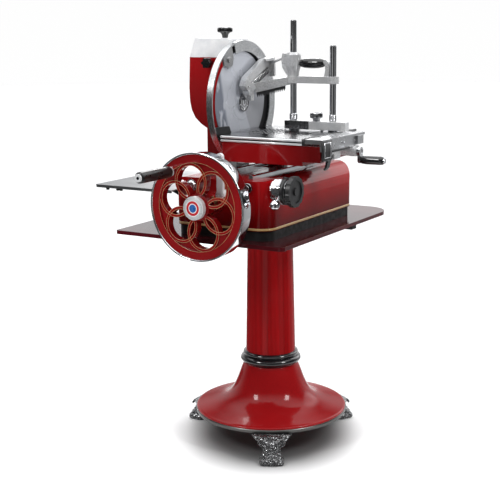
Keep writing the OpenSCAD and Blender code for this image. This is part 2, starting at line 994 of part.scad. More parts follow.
module feed_housing() {
    color("#33363a")
        difference() {
            union() {
                cyl_x(258.5, 342, 15, screw_y, screw_z);
                cyl_x(316, 334, 16, screw_y, screw_z);
                box([292, screw_y - 22, 985], [334, screw_y + 22, 994]);
                box([296, -232, 964], [316, -128, 994]);
                box([292, -129, 986], [316, screw_y - 10, 994]);
                box([298, -232, 992], [316, screw_y + 10, table_z - 13]);
            }
            cyl_x(250, 360, 8 + run, screw_y, screw_z);
            cyl_y(-206, -166, 4 + run, 306, 970);
            box([299, -203, 963], [320, -169, 980]);
        }
}

module release_lever() {
    color("#151618") {
        cyl_y(-205.5, -166.5, 4, 306, 970);
        along_y(-196, -176)
            polygon([[303, 974], [310, 974], [311, 966], [307, 952], [304, 940], [297, 932], [293, 935],
                [298, 942], [301, 956]]);
    }
}

module feed_screw() {
    color("#b4b8bb") {
        cyl_x(42, 352, 8, screw_y, screw_z);
        cyl_x(342.5, 345, 14, screw_y, screw_z);
    }
}

module feed_crank() {
    color("#c3c6c9")
        difference() {
            along_x(345, 353)
                union() {
                    translate([screw_y, screw_z])
                        circle(14);
                    translate([screw_y, screw_z - 25])
                        circle(11);
                    translate([screw_y - 11, screw_z - 25])
                        square([22, 25]);
                }
            cyl_x(344, 354, 8, screw_y, screw_z);
        }
    color("#c3c6c9")
        union() {
            cyl_x(350, 430, 5, screw_y, screw_z - 25);
            cyl_x(428, 431, 8, screw_y, screw_z - 25);
        }
}

module feed_grip() {
    color("#151618")
        translate([353.5, screw_y, screw_z - 25])
            rotate([0, 90, 0])
                rotate_extrude()
                    polygon([[5 + run, 0], [10, 0], [12, 4], [13, 20], [13, 62], [12, 70],
                        [9, 74], [5 + run, 74]]);
}

// ---------- fence ----------

module fence_bar() {
    color("#cfd2d4")
        difference() {
            union() {
                box([156, -28, fence_z0], [272, -8, fence_z1]);
                box([70, -20, fence_z0], [157, -8, fence_z1]);
                box([268, -32, fence_z0], [284, -6, fence_z1]);
                for (x = [112, 196])
                    cyl_z(table_z - 8, fence_z0 + 1, 3.9, x, -15.9);
            }
            cyl_z(fence_z0 - 1, fence_z1 + 1, 4 + run, 178, -18);
        }
}

module fence_teeth() {
    color("#2a2d30")
        for (i = [0 : 5])
            union() {
                box([70 + i * 14.5, -28, fence_z0], [82 + i * 14.5, -20, fence_z1]);
                box([70, -24, fence_z0 + 1], [156, -20, fence_z1 - 1]);
            }
}

module fence_knob() {
    color("#d9dcde") {
        cyl_z(fence_z0 + 4, fence_z1 + 8, 4, 178, -18);
        cyl_z(fence_z1 + 0.5, fence_z1 + 12, 12, 178, -18);
        translate([178, -18, fence_z1 + 10])
            linear_extrude(18)
                lobes2(8, 17, 4);
    }
}

// ---------- press ----------

module press_posts() {
    color("#d4d6d8") {
        post(post_xa, post_za);
        post(post_xb, post_zb);
    }
}

module post(x, z1) {
    cyl_z(table_z, z1 - 2, post_r, x, post_y);
    cyl_z(z1 - 3, z1, post_r - 1.5, x, post_y);
    cyl_z(table_z, table_z + 26, post_r + 5, x, post_y);
}

module press_arm() {
    color("#cfd2d4")
        difference() {
            union() {
                translate([0, 0, arm_z0])
                    linear_extrude(arm_z1 - arm_z0)
                        union() {
                            translate([post_xb, post_y])
                                circle(19);
                            translate([post_xa, post_y - 10])
                                square([post_xb - post_xa, 20]);
                            translate([post_xa, post_y])
                                circle(20);
                        }
                // Bar that slopes down to the bracket beside the blade.
                along_bar(-8, 8)
                    polygon([[0, arm_z0 - 2], [bar_len, bar_z - 31], [bar_len, bar_z], [0, arm_z1]]);
                along_bar(-10.5, -7)
                    translate([bar_len - 12, bar_z - 16])
                        circle(6, $fn = 6);
                // Split clamp body above the arm on the left column.
                translate([post_xa, post_y, 0])
                    rotate_extrude()
                        polygon([[0, arm_z1 - 1], [17, arm_z1 - 1], [19, 1212], [24, 1228],
                            [24, 1262], [20, 1270], [0, 1270]]);
                along_y(post_y - 9, post_y + 9)
                    polygon([[post_xa, 1266], [post_xa - 35, 1266], [post_xa - 39, 1246],
                        [post_xa - 36, 1222], [post_xa - 24, 1204], [post_xa - 16, arm_z1 - 1],
                        [post_xa, arm_z1 - 1]]);
                // Curved bracket that carries the right end of the grip.
                along_y(post_y - 8, post_y + 8)
                    polygon([[192, arm_z1 - 2], [210, arm_z1 - 2], [211, 1222], [206, 1240], [198, 1248],
                        [190, 1248], [190, 1238], [195, 1232], [197, 1216]]);
            }
            cyl_z(arm_z0 - 20, 1280, post_r + run, post_xa, post_y);
            cyl_z(arm_z0 - 20, 1280, post_r + run, post_xb, post_y);
        }
}

// Extrusion across the sloping bar: x runs from the left post to the bracket, y is height.
module along_bar(t0, t1) {
    translate([post_xa, post_y, 0])
        rotate(atan2(bar_y - post_y, bar_x - post_xa))
            rotate([90, 0, 0])
                translate([0, 0, -t1])
                    linear_extrude(t1 - t0)
                        children();
}

module press_comb() {
    teeth = 15;
    s0 = 26;
    s1 = bar_len - 6;
    step = (s1 - s0) / teeth;
    color("#4a4e52")
        along_bar(-4, 4)
            polygon(concat([[s1, bar_under(s1)], [s0, bar_under(s0)]],
                [for (i = [0 : 3 * teeth - 1])
                    let (t = floor(i / 3), k = i % 3, x = s0 + (t + k * 0.45) * step)
                        [x, bar_under(x) - (k == 1 ? 17 : 8)]],
                [[s1, bar_under(s1) - 8]]));
}

// Height just below the sloping bar at distance x from the left post.
function bar_under(x) = arm_z0 - 2 + (bar_z - 31 - arm_z0 + 2) * x / bar_len - 0.02;

module press_grip() {
    x0 = post_xa + 24;
    color("#141518")
        translate([x0, post_y, 1236])
            rotate([0, 90, 0])
                rotate_extrude()
                    polygon([[0, 0], [8, 0], [12, 5], [15, 18], [16, 36], [16, 50], [15, 66],
                        [12, 80], [9, 85], [0, 85]]);
}

module press_plate() {
    color("#d9dcde") {
        // Cast bracket that runs beside the blade: web with a row of pockets.
        difference() {
            along_x(-31, -23)
                polygon([[-134, 1170], [-128, 1184], [-118, 1197], [-10, 1249], [44, 1252], [50, 1240],
                    [52, 1196], [24, 1180], [-54, 1156], [-88, 1150], [-116, 1154]]);
            for (i = [0 : 11])
                let (y = -72 + i * 8.6, z = 1166 + i * 3.6)
                    along_x(-27, -22)
                        polygon([[y, z], [y + 6, z + 2.5], [y + 2, z + 16], [y - 4, z + 13.5]]);
        }
        // Raised edges of the bracket.
        along_x(-24, -14)
            polygon([[-128, 1184], [-118, 1197], [-10, 1249], [-4, 1242], [-112, 1190], [-120, 1182]]);
        along_x(-24, -6)
            polygon([[-10, 1249], [44, 1252], [50, 1240], [52, 1196], [44, 1192], [42, 1238],
                [38, 1243], [-6, 1241]]);
        along_x(-24, -10)
            polygon([[-134, 1170], [-128, 1184], [-118, 1197], [-100, 1192], [-86, 1180], [-66, 1160],
                [-88, 1150], [-116, 1154]]);
        // Boss and block that face the blade hub.
        cyl_x(-31, -8, 9, -106, 1148);
        box([-31, -92, 1122], [-14, -74, 1160]);
        // Stay rod to the clamp body.
        translate([-24, 46, 1232])
            along_vector([post_xa + 6, post_y - 46, 26], 4);
    }
}

// Round bar from the origin to point v.
module along_vector(v, r) {
    len = norm(v);
    rotate([0, acos(v[2] / len), atan2(v[1], v[0])])
        cylinder(h = len, r = r);
}

// ---------- slice tray ----------

module slice_tray() {
    z = 862;
    color("#c9cdd1") {
        round_slab(-444, base_y0, -150, 60, [6, 2, 2, 6], z - 3, z);
        box([-440, base_y0, z - 9], [-150, base_y0 + 2.5, z - 2]);
        for (x = [-412, -368], y = [base_y0 + 26, 20])
            cyl_z(z - 13, z - 2.5, 8, x, y);
    }
}

module tray_bracket() {
    color("#1b1c1e")
        for (y = [base_y0 + 60, -20])
            along_y(y, y + 14)
                polygon([[base_x0, 859], [-196, 859], [-196, 852], [-160, 836], [base_x0, 822]]);
}

// ---------- selection ----------

cast_feet();
rim_band();
pedestal_base();
pedestal_collar();
pedestal_column();
mount_flange();
tie_rod();
stand_shelf();
shelf_block();
machine_plinth();
base_casting();
carriage_rails();
oil_cap();
bearing_dome();
wheel_bearing();
wheel_latch();
dial_drum();
dial_knob();
lock_lever();
wheel_shaft();
cross_shaft();
crank_wheel();
drive_chain();
blade_shaft();
blade_bearing();
flywheel();
wheel_tyre();
hub_badge();
handle_pin();
handle_grip();
blade_housing();
housing_cap();
guard_ring();
blade();
blade_hub();
sharpener_knob();
sharpener_lever();
sharpener_head();
blade_wiper();
carriage_body();
guide_blocks();
carriage_yoke();
feed_nut();
meat_table();
table_rail();
feed_housing();
release_lever();
feed_screw();
feed_crank();
feed_grip();
fence_bar();
fence_teeth();
fence_knob();
press_posts();
press_arm();
press_comb();
press_grip();
press_plate();
slice_tray();
tray_bracket();
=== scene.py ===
import math

import bpy
from mathutils import Matrix, Vector


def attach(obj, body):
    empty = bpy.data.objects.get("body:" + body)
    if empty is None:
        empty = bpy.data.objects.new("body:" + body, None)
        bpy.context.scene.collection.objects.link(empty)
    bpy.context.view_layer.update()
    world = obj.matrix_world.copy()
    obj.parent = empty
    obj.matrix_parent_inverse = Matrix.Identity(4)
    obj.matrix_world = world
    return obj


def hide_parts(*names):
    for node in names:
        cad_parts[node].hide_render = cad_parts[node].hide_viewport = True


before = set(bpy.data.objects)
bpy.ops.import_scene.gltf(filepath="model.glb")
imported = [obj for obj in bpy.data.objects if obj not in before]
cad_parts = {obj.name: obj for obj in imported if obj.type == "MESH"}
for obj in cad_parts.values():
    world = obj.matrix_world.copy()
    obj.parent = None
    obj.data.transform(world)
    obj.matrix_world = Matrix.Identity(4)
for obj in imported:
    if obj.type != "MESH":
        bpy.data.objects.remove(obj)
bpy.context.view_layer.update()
MM = 0.001
UP, RIGHT, FRONT, BACK = (0, 0, 1), (1, 0, 0), (0, -1, 0), (0, 1, 0)

# The axles of wheel and blade in millimetres, and as the materials need them, in metres.
WHEEL_X, WHEEL_Y, WHEEL_Z = 4, -444, 835
BLADE_X, BLADE_Y, BLADE_Z = -48, -92, 1117
SHAFT = (WHEEL_X * MM, WHEEL_Y * MM, WHEEL_Z * MM)
BLADE = (BLADE_X * MM, BLADE_Y * MM, BLADE_Z * MM)
HANDLE = (-0.0863, 0.0, 0.9353)


# ---------------------------------------------------------------- materials
class Mat:
    """A small builder of node materials; colour is in linear values."""

    def __init__(self, name):
        self.m = bpy.data.materials.new(name)
        self.m.use_nodes = True
        self.t = self.m.node_tree
        self.t.nodes.clear()
        out = self.t.nodes.new("ShaderNodeOutputMaterial")
        self.b = self.t.nodes.new("ShaderNodeBsdfPrincipled")
        self.t.links.new(self.b.outputs[0], out.inputs[0])
        self.co = self.node("ShaderNodeTexCoord").outputs["Object"]

    def put(self, node, key, value):
        socket = node.inputs[key]
        if isinstance(value, bpy.types.NodeSocket):
            self.t.links.new(value, socket)
        elif isinstance(value, tuple) and len(value) == 3 and len(socket.default_value) == 4:
            socket.default_value = (*value, 1.0)
        else:
            socket.default_value = value

    def node(self, kind, attrs=None, ins=None):
        n = self.t.nodes.new(kind)
        for k, v in (attrs or {}).items():
            setattr(n, k, v)
        for k, v in (ins or {}).items():
            self.put(n, k, v)
        return n

    def set(self, **ins):
        for k, v in ins.items():
            self.put(self.b, k.replace("_", " "), v)

    def where(self, stretch=(1, 1, 1)):
        return self.node("ShaderNodeMapping", ins={"Vector": self.co, "Scale": stretch}).outputs[0]

    def noise(self, scale, detail=3.0, stretch=(1, 1, 1), rough=0.5):
        n = self.node("ShaderNodeTexNoise", ins={"Vector": self.where(stretch), "Scale": scale,
                                                 "Detail": detail, "Roughness": rough})
        return n.outputs[0]

    def cells(self, scale):
        n = self.node("ShaderNodeTexVoronoi", ins={"Vector": self.where(), "Scale": scale})
        return n.outputs["Distance"]

    def span(self, fac, lo, hi, a=0.3, b=0.7):
        n = self.node("ShaderNodeMapRange", ins={0: fac, 1: a, 2: b, 3: lo, 4: hi})
        return n.outputs[0]

    def math(self, op, a, b=0.0):
        return self.node("ShaderNodeMath", {"operation": op}, {0: a, 1: b}).outputs[0]

    def mix(self, fac, a, b):
        return self.node("ShaderNodeMix", {"data_type": "RGBA"}, {0: fac, 6: a, 7: b}).outputs[2]

    def ramp(self, fac, stops, how="LINEAR"):
        n = self.node("ShaderNodeValToRGB", ins={0: fac})
        n.color_ramp.interpolation = how
        while len(n.color_ramp.elements) < len(stops):
            n.color_ramp.elements.new(0.5)
        for e, (p, c) in zip(n.color_ramp.elements, stops):
            e.position, e.color = p, (*c, 1.0)
        return n.outputs[0]

    def axes(self):
        """The x, y and z of the place, in metres."""
        return self.node("ShaderNodeSeparateXYZ", ins={0: self.co}).outputs

    def radius(self, centre, axis):
        """Distance from an axis line, in metres."""
        d = self.node("ShaderNodeVectorMath", {"operation": "SUBTRACT"}, {0: self.co, 1: centre}).outputs[0]
        keep = tuple(0.0 if i == axis else 1.0 for i in range(3))
        d = self.node("ShaderNodeVectorMath", {"operation": "MULTIPLY"}, {0: d, 1: keep}).outputs[0]
        return self.node("ShaderNodeVectorMath", {"operation": "LENGTH"}, {0: d}).outputs["Value"]

    def edges(self, width):
        """Normal with softened edges, width in millimetres."""
        if width <= 0:
            return None
        return self.node("ShaderNodeBevel", {"samples": 4}, {"Radius": width * MM}).outputs[0]

    def bump(self, height, depth, base=None):
        """Relief of a depth in millimetres, on top of the normal base."""
        n = self.node("ShaderNodeBump", ins={"Height": height, "Distance": depth * MM})
        if base is not None:
            self.put(n, "Normal", base)
        return n.outputs[0]


def enamel(name, dark, light, edge=1.2, rough=0.14, peel=0.02, coat=0.85, spec=0.25, low_shade=None,
           lit=None, streak=0.0, rear=None):
    """Deep gloss paint: slight colour drift, orange peel, clear coat.

    low_shade is (low, high, share), painted shade: the dark colour times share at the low height, the full
    paint at the high one.
    lit is (x, reach, share), a painted pool of light: the paint at that x, the dark colour times share beyond
    the reach on both sides as painted shade.
    streak is the strength of upright streaks, painted reflections, and rear is the coat left on the far side,
    thinned there as painted shade that dims its reflection.
    """
    m = Mat(name)
    soft = m.edges(edge)
    drift = m.noise(5.0, 2.0)
    paint = m.mix(m.span(drift, 0.0, 1.0), dark, light)
    # Painted shade: darker towards the bottom.
    if low_shade:
        low, high, share = low_shade
        rise = m.span(m.axes()[2], 0.0, 1.0, low * MM, high * MM)
        paint = m.mix(rise, tuple(c * share for c in dark), paint)
    # Painted light about one x, painted shade to both sides.
    if lit:
        middle, reach, share = lit
        off = m.math("ABSOLUTE", m.math("SUBTRACT", m.axes()[0], middle * MM))
        paint = m.mix(m.span(off, 0.0, 1.0, reach * MM * 0.25, reach * MM), paint,
                      tuple(c * share for c in dark))
    # Painted reflection: upright streaks of darker paint.
    if streak:
        fine = m.span(m.noise(75.0, 3.0, (1, 1, 0.012)), 0.0, 1.0, 0.35, 0.65)
        paint = m.mix(m.math("MULTIPLY", fine, streak), paint, tuple(c * 0.45 for c in dark))
    # Painted shade: less coat, and so less reflection, on the far side.
    if rear is not None:
        x, y = m.axes()[:2]
        far = m.math("SUBTRACT", m.math("MULTIPLY", y, 0.86), m.math("MULTIPLY", x, 0.51))
        coat = m.span(far, coat, rear, -0.09, 0.05)
        spec = m.math("MULTIPLY", coat, spec)
    m.set(Base_Color=paint, Specular_IOR_Level=spec,
          Roughness=m.span(m.noise(24.0), rough * 0.8, rough * 1.5),
          Coat_Weight=coat, Coat_Roughness=0.025, Coat_IOR=1.5,
          Normal=m.bump(m.noise(160.0, 1.5), peel, soft))
    if soft is not None:
        m.set(Coat_Normal=m.bump(m.noise(120.0, 1.0), peel * 0.5, soft))
    return m.m


def chrome(name, tone=0.80, rough=0.05, edge=0.8):
    m = Mat(name)
    smear = m.noise(18.0, 4.0, (1, 1, 0.4))
    m.set(Base_Color=m.mix(m.span(smear, 0.0, 1.0), (tone, tone * 1.01, tone * 1.03),
                           (tone * 0.9, tone * 0.91, tone * 0.94)),
          Metallic=1.0, Roughness=m.span(smear, rough * 0.6, rough * 1.8),
          Normal=m.bump(m.noise(700.0, 1.0), 0.0015, m.edges(edge)))
    return m.m


def brushed(name, tone, rough=0.28, grain=(1, 1, 1), edge=0.6, depth=0.006, tint=(1.0, 1.01, 1.03)):
    """Fine grain drawn out along the axis whose grain factor is small."""
    m = Mat(name)
    lines = m.noise(900.0, 2.0, grain)
    patch = m.noise(12.0, 3.0)
    a = tuple(tone * 0.86 * c for c in tint)
    b = tuple(min(1.0, tone * 1.08 * c) for c in tint)
    m.set(Base_Color=m.mix(m.span(lines, 0.0, 1.0), a, b), Metallic=1.0,
          Roughness=m.span(patch, rough * 0.85, rough * 1.25),
          Normal=m.bump(lines, depth, m.edges(edge)))
    return m.m


def table_steel(name):
    """Polished slide with long wiped streaks of lighter and darker metal."""
    m = Mat(name)
    streak = m.span(m.noise(24.0, 4.0, (0.10, 1, 1), 0.62), 0.0, 1.0, 0.46, 0.63)
    fine = m.noise(900.0, 2.0, (0.02, 1, 1))
    m.set(Base_Color=m.mix(streak, (0.045, 0.048, 0.056), (0.20, 0.205, 0.22)), Metallic=1.0,
          Roughness=m.span(streak, 0.22, 0.13, 0.0, 1.0), Normal=m.bump(fine, 0.004, m.edges(0.8)))
    return m.m


def cast(name, tone, rough=0.3, edge=1.4, grit=0.03, metal=1.0):
    """Polished casting: broad waves, fine pits."""
    m = Mat(name)
    m.set(Metallic=metal)
    wave = m.noise(40.0, 3.0)
    pits = m.noise(520.0, 3.0)
    m.set(Base_Color=m.mix(m.span(wave, 0.0, 1.0), (tone * 0.86, tone * 0.87, tone * 0.89),
                           (tone, tone, tone)),
          Roughness=m.span(pits, rough * 0.75, rough * 1.3),
          Normal=m.bump(pits, grit, m.bump(wave, grit * 4, m.edges(edge))))
    return m.m


def plastic(name, tone, rough=0.16, edge=0.8, coat=0.6, grain=0.004):
    m = Mat(name)
    dust = m.noise(60.0, 4.0)
    m.set(Base_Color=m.mix(m.span(dust, 0.0, 1.0), (tone, tone, tone * 1.1),
                           (tone * 1.8, tone * 1.8, tone * 1.9)),
          Roughness=m.span(dust, rough * 0.8, rough * 1.4), Coat_Weight=coat, Coat_Roughness=0.05,
          Normal=m.bump(m.noise(500.0, 2.0), grain, m.edges(edge)))
    return m.m


def iron(name, gloss=0.22, coat=0.5, painted_glints=False):
    """Black painted cast iron with a slightly sandy skin; painted_glints are painted glints, bright metal
    specks that stand for highlights.
    """
    m = Mat(name)
    sand = m.noise(420.0, 4.0, rough=0.6)
    lumps = m.noise(60.0, 3.0)
    paint = m.mix(m.span(sand, 0.0, 1.0), (0.006, 0.006, 0.007), (0.020, 0.020, 0.022))
    height = m.bump(lumps, 0.25, m.edges(1.0))
    metal = 0.0
    # Painted glints: bright metal specks in the relief.
    if painted_glints:
        metal = m.span(m.noise(300.0, 2.0), 0.0, 1.0, 0.60, 0.63)
        paint = m.mix(metal, paint, (0.62, 0.63, 0.64))
        height = m.bump(m.cells(120.0), 2.2, m.edges(1.0))
    m.set(Base_Color=paint, Roughness=m.span(lumps, gloss, gloss + 0.2), Coat_Weight=coat, Metallic=metal,
          Coat_Roughness=gloss * 0.8, Normal=m.bump(sand, 0.05, height))
    return m.m


def blade_steel(centre):
    """Ground steel: fine rings about the axle, and painted reflections: a darker sector, dark clouds towards
    the front, a dark crescent behind part of the edge.
    """
    m = Mat("blade_steel")
    r = m.radius(centre, 0)
    rings = m.node("ShaderNodeTexNoise", {"noise_dimensions": "1D"},
                   {"W": r, "Scale": 2600.0, "Detail": 2.0}).outputs[0]
    patch = m.noise(9.0, 3.0)
    body = m.mix(m.span(rings, 0.0, 1.0), (0.54, 0.56, 0.61), (0.62, 0.64, 0.70))
    # Painted reflection: a darker sector by the hub.
    y, z = (m.math("SUBTRACT", m.axes()[i], centre[i]) for i in (1, 2))
    slant = m.math("ADD", m.math("MULTIPLY", y, 0.9), m.math("MULTIPLY", z, 0.5))
    sector = m.math("MULTIPLY", m.span(slant, 0, 1, -0.004, 0.004), m.span(z, 1, 0, -0.02, 0.10))
    body = m.mix(m.math("MULTIPLY", sector, 0.6), body, (0.30, 0.30, 0.31))
    # Painted reflection: dark bluish clouds towards the front edge.
    reflection_cloud = m.span(m.noise(26.0, 3.0, (1, 1, 0.5)), 0, 1, 0.47, 0.53)
    outer = m.math("ADD", y, m.math("MULTIPLY", z, 0.25))
    left = m.math("MULTIPLY", reflection_cloud, m.span(outer, 0.75, 0, -0.112, -0.098))
    body = m.mix(left, body, (0.10, 0.12, 0.17))
    # Painted reflection: a dark crescent behind part of the edge.
    off = m.radius((centre[0], centre[1] - 0.012, centre[2] + 0.010), 0)
    reflection_crescent = m.span(off, 0.0, 1.0, 0.1492, 0.1502)
    m.set(Base_Color=m.mix(reflection_crescent, body, (0.012, 0.012, 0.014)),
          Metallic=m.span(reflection_crescent, 0.30, 0.0, 0.0, 1.0),
          Roughness=m.math("ADD", m.span(patch, 0.22, 0.30), m.math("MULTIPLY", reflection_crescent, 0.3)),
          Anisotropic=0.4, Normal=m.bump(rings, 0.004))
    return m.m


def badge(centre):
    """Plain enamel disc: concentric bands of colour only."""
    m = Mat("badge_enamel")
    blue, white, red, silver = (0.02, 0.11, 0.36), (0.82, 0.82, 0.83), (0.50, 0.012, 0.02), (0.72, 0.73, 0.74)
    way = m.span(m.radius(centre, 1), 0.0, 1.0, 0.0, 0.035)
    colour = m.ramp(way, [(0.0, blue), (0.34, white), (0.41, red), (0.62, white), (0.68, silver),
                          (0.93, white)], "CONSTANT")
    metal = m.ramp(way, [(0.0, (0.1,) * 3), (0.34, (0.1,) * 3), (0.68, (0.45,) * 3)], "CONSTANT")
    m.set(Base_Color=colour, Metallic=metal,
          Roughness=m.span(m.noise(60.0, 3.0), 0.26, 0.36), Coat_Weight=0.6, Coat_Roughness=0.05,
          Normal=m.edges(1.0))
    return m.m


def band(m, axis, lo, hi):
    """1 where the coordinate along axis lies between lo and hi (millimetres)."""
    c = m.axes()[axis]
    return m.math("MULTIPLY", m.math("GREATER_THAN", c, lo * MM), m.math("LESS_THAN", c, hi * MM))


def guard(name, centre):
    """Polished casting with its recessed back plate made near black."""
    m = Mat(name)
    r = m.radius(centre, 0)
    well = m.math("MULTIPLY", band(m, 0, -60, -53.5), m.math("LESS_THAN", r, 0.1868))
    pits = m.noise(520.0, 3.0)
    wave = m.noise(40.0, 3.0)
    metal = m.mix(m.span(wave, 0.0, 1.0), (0.60, 0.61, 0.62), (0.72, 0.73, 0.74))
    m.set(Base_Color=m.mix(well, metal, (0.008, 0.008, 0.010)), Metallic=m.math("SUBTRACT", 1.0, well),
          Roughness=m.math("ADD", m.span(pits, 0.17, 0.30), m.math("MULTIPLY", well, 0.2)),
          Normal=m.bump(pits, 0.012, m.edges(1.2)))
    return m.m


def handle_end(name):
    """Chrome pin with a black disc in its outer end."""
    m = Mat(name)
    r = m.radius(HANDLE, 1)
    dot = m.math("MULTIPLY", m.math("LESS_THAN", r, 0.0048), band(m, 1, -620, -596))
    smear = m.noise(40.0, 3.0)
    m.set(Base_Color=m.mix(dot, (0.86, 0.87, 0.88), (0.006, 0.006, 0.007)),
          Metallic=m.math("MULTIPLY", m.math("SUBTRACT", 1.0, dot), 0.45),
          Roughness=m.span(smear, 0.04, 0.12), Normal=m.edges(0.8))
    return m.m


RED = enamel("red_enamel", (0.240, 0.0030, 0.0042), (0.300, 0.0046, 0.0062), coat=0.65)
# The dish's coat thins on the far side as painted shade.
RED_DISH = enamel("red_enamel_dish", (0.225, 0.0050, 0.0062), (0.285, 0.0068, 0.0084), coat=0.22,
                  spec=0.5, rear=0.02)
# Painted shade darkens the housing towards the bottom.
RED_HOUSE = enamel("red_enamel_house", (0.235, 0.0028, 0.0040), (0.300, 0.0044, 0.0060), edge=2.0,
                   low_shade=(1000, 1230, 0.5))
# The column carries painted reflection streaks.
RED_COLUMN = enamel("red_enamel_column", (0.270, 0.0034, 0.0046), (0.330, 0.0048, 0.0064), coat=0.24,
                    streak=0.55, spec=0.10)
# The wheel's red is a darker copy of the enamel, painted shade on its face.
RED_WHEEL_SHADED = enamel("red_enamel_wheel_shaded", (0.150, 0.0025, 0.0035), (0.230, 0.0038, 0.0052), edge=2.0, coat=0.9)
# The carriage has a painted pool of light about its middle.
RED_FINE = enamel("red_enamel_fine", (0.245, 0.0030, 0.0042), (0.310, 0.0046, 0.0062), edge=2.0,
                  coat=0.55, lit=(85, 200, 0.36))
# Painted shade darkens the base towards the bottom.
RED_BASE = enamel("red_enamel_base", (0.230, 0.0028, 0.0040), (0.300, 0.0044, 0.0060), edge=2.0,
                  low_shade=(756, 865, 0.30), coat=0.3, spec=0.06)
SHELF = enamel("shelf_enamel", (0.036, 0.0024, 0.004), (0.064, 0.004, 0.007), edge=1.0, rough=0.10,
               peel=0.006, coat=0.15)
BLACK = enamel("black_enamel", (0.006, 0.006, 0.007), (0.014, 0.014, 0.016), edge=1.0, rough=0.16, coat=0.8)
GOLD = enamel("gold_line", (0.42, 0.26, 0.10), (0.56, 0.37, 0.17), edge=0, rough=0.3)
CHROME = chrome("chrome")
CHROME_SOFT = chrome("chrome_soft", 0.76, 0.11)
CHROME_EDGE = chrome("chrome_round", 0.90, 0.05, edge=2.0)
IRON = iron("black_iron")
ALU_SOFT = cast("soft_aluminium", 0.66, 0.28, metal=0.5)
ALU_BRIGHT = cast("bright_aluminium", 0.80, 0.15, grit=0.012)
ALU_WHITE = cast("white_aluminium", 0.95, 0.30, grit=0.008, metal=0.15)
ALU_BAR = cast("bar_aluminium", 0.74, 0.22, grit=0.02, metal=0.35)
ALU_PLATE = cast("plate_aluminium", 0.62, 0.24, grit=0.015, metal=0.45)
BRIGHT_TRIM = cast("bright_trim", 0.86, 0.16, grit=0.006, metal=0.5)
KNOB_CHROME = chrome("knob_chrome", 0.42, 0.10)
POST_CHROME = chrome("post_chrome", 0.62, 0.07)
ALU_SATIN = cast("satin_aluminium", 0.60, 0.34, grit=0.02)
STEEL_X = brushed("steel_along_x", 0.60, 0.26, (0.02, 1, 1))
STEEL_Y = brushed("steel_along_y", 0.60, 0.26, (1, 0.02, 1))
STEEL_TABLE = table_steel("steel_table")
STEEL_TRAY = brushed("steel_tray", 0.27, 0.42, (0.02, 1, 1), depth=0.003)
DARK_STEEL = brushed("dark_steel", 0.16, 0.36, (1, 1, 0.05), tint=(1.0, 1.0, 1.02))
BRONZE = brushed("bronze", 0.55, 0.3, (1, 0.05, 1), tint=(1.0, 0.74, 0.36))
KNOB = plastic("black_knob", 0.005, coat=0.45)
GRIP = plastic("black_grip", 0.003, rough=0.3, coat=0.2)
# The feet carry painted glints.
FOOT_IRON = iron("foot_iron", 0.16, 0.6, painted_glints=True)
RIM_STEEL = brushed("rim_steel", 0.10, 0.30, (1, 1, 0.05), tint=(1.0, 0.98, 0.95))
RUBBER = plastic("rubber", 0.003, 0.5, coat=0.0, grain=0.02)
SATIN_BLACK = plastic("satin_black", 0.010, 0.34, coat=0.1, grain=0.01)
STEEL_BLADE = blade_steel(BLADE)
BADGE = badge(SHAFT)

LOOK = {
    "cast_feet": IRON, "rim_band": RIM_STEEL, "pedestal_base": RED, "pedestal_collar": BLACK,
    "pedestal_column": RED_COLUMN, "mount_flange": BLACK, "tie_rod": DARK_STEEL, "stand_shelf": SHELF,
    "shelf_block": RUBBER, "machine_plinth": RUBBER, "base_casting": RED_BASE,
    "carriage_rails": CHROME_SOFT, "oil_cap": KNOB, "bearing_dome": CHROME, "wheel_bearing": BRONZE,
    "wheel_latch": ALU_WHITE, "dial_drum": CHROME_SOFT, "dial_knob": SATIN_BLACK, "lock_lever": CHROME,
    "wheel_shaft": STEEL_Y, "cross_shaft": DARK_STEEL, "crank_wheel": DARK_STEEL,
    "drive_chain": DARK_STEEL, "blade_shaft": DARK_STEEL, "blade_bearing": BRONZE,
    "flywheel": RED_WHEEL_SHADED, "wheel_tyre": CHROME_EDGE, "hub_badge": BADGE,
    "handle_pin": handle_end("handle_chrome"), "handle_grip": GRIP, "blade_housing": RED_HOUSE,
    "housing_cap": ALU_WHITE, "guard_ring": guard("guard_aluminium", BLADE), "blade": STEEL_BLADE,
    "blade_hub": CHROME, "sharpener_knob": KNOB, "sharpener_lever": KNOB, "sharpener_head": ALU_SATIN,
    "blade_wiper": SATIN_BLACK, "carriage_body": RED_FINE, "guide_blocks": STEEL_Y,
    "carriage_yoke": DARK_STEEL, "feed_nut": BRONZE, "meat_table": STEEL_TABLE, "table_rail": STEEL_X,
    "feed_housing": ALU_PLATE, "release_lever": BLACK, "feed_screw": STEEL_X, "feed_crank": CHROME,
    "feed_grip": KNOB, "fence_bar": ALU_BAR, "fence_teeth": KNOB_CHROME, "fence_knob": CHROME,
    "press_posts": POST_CHROME, "press_arm": ALU_SOFT, "press_comb": DARK_STEEL, "press_grip": KNOB,
    "press_plate": ALU_SOFT, "slice_tray": STEEL_TRAY, "tray_bracket": BLACK,
}
for node, look in LOOK.items():
    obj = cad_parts[node]
    if not obj.material_slots:
        obj.data.materials.append(look)
    for s in obj.material_slots:
        s.material = look


# ---------------------------------------------------------------- mesh helpers, sizes in millimetres
def piece(name, verts, faces, look, body, slot, node=None, smooth=True):
    """Visible piece that rides on a body; it replaces a node of the CAD if one is named."""
    me = bpy.data.meshes.new(name)
    me.from_pydata([tuple(c * MM for c in v) for v in verts], [], faces)
    me.validate()
    me.update()
    if smooth:
        for p in me.polygons:
            p.use_smooth = True
    ob = bpy.data.objects.new(name, me)
    bpy.context.scene.collection.objects.link(ob)
    me.materials.append(look)
    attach(ob, body)
    if node:
        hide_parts(node)


def frame_of(axis):
    """The axis and two directions square to it, each of length 1."""
    a = Vector(axis).normalized()
    u = a.orthogonal().normalized()
    return a, u, a.cross(u)


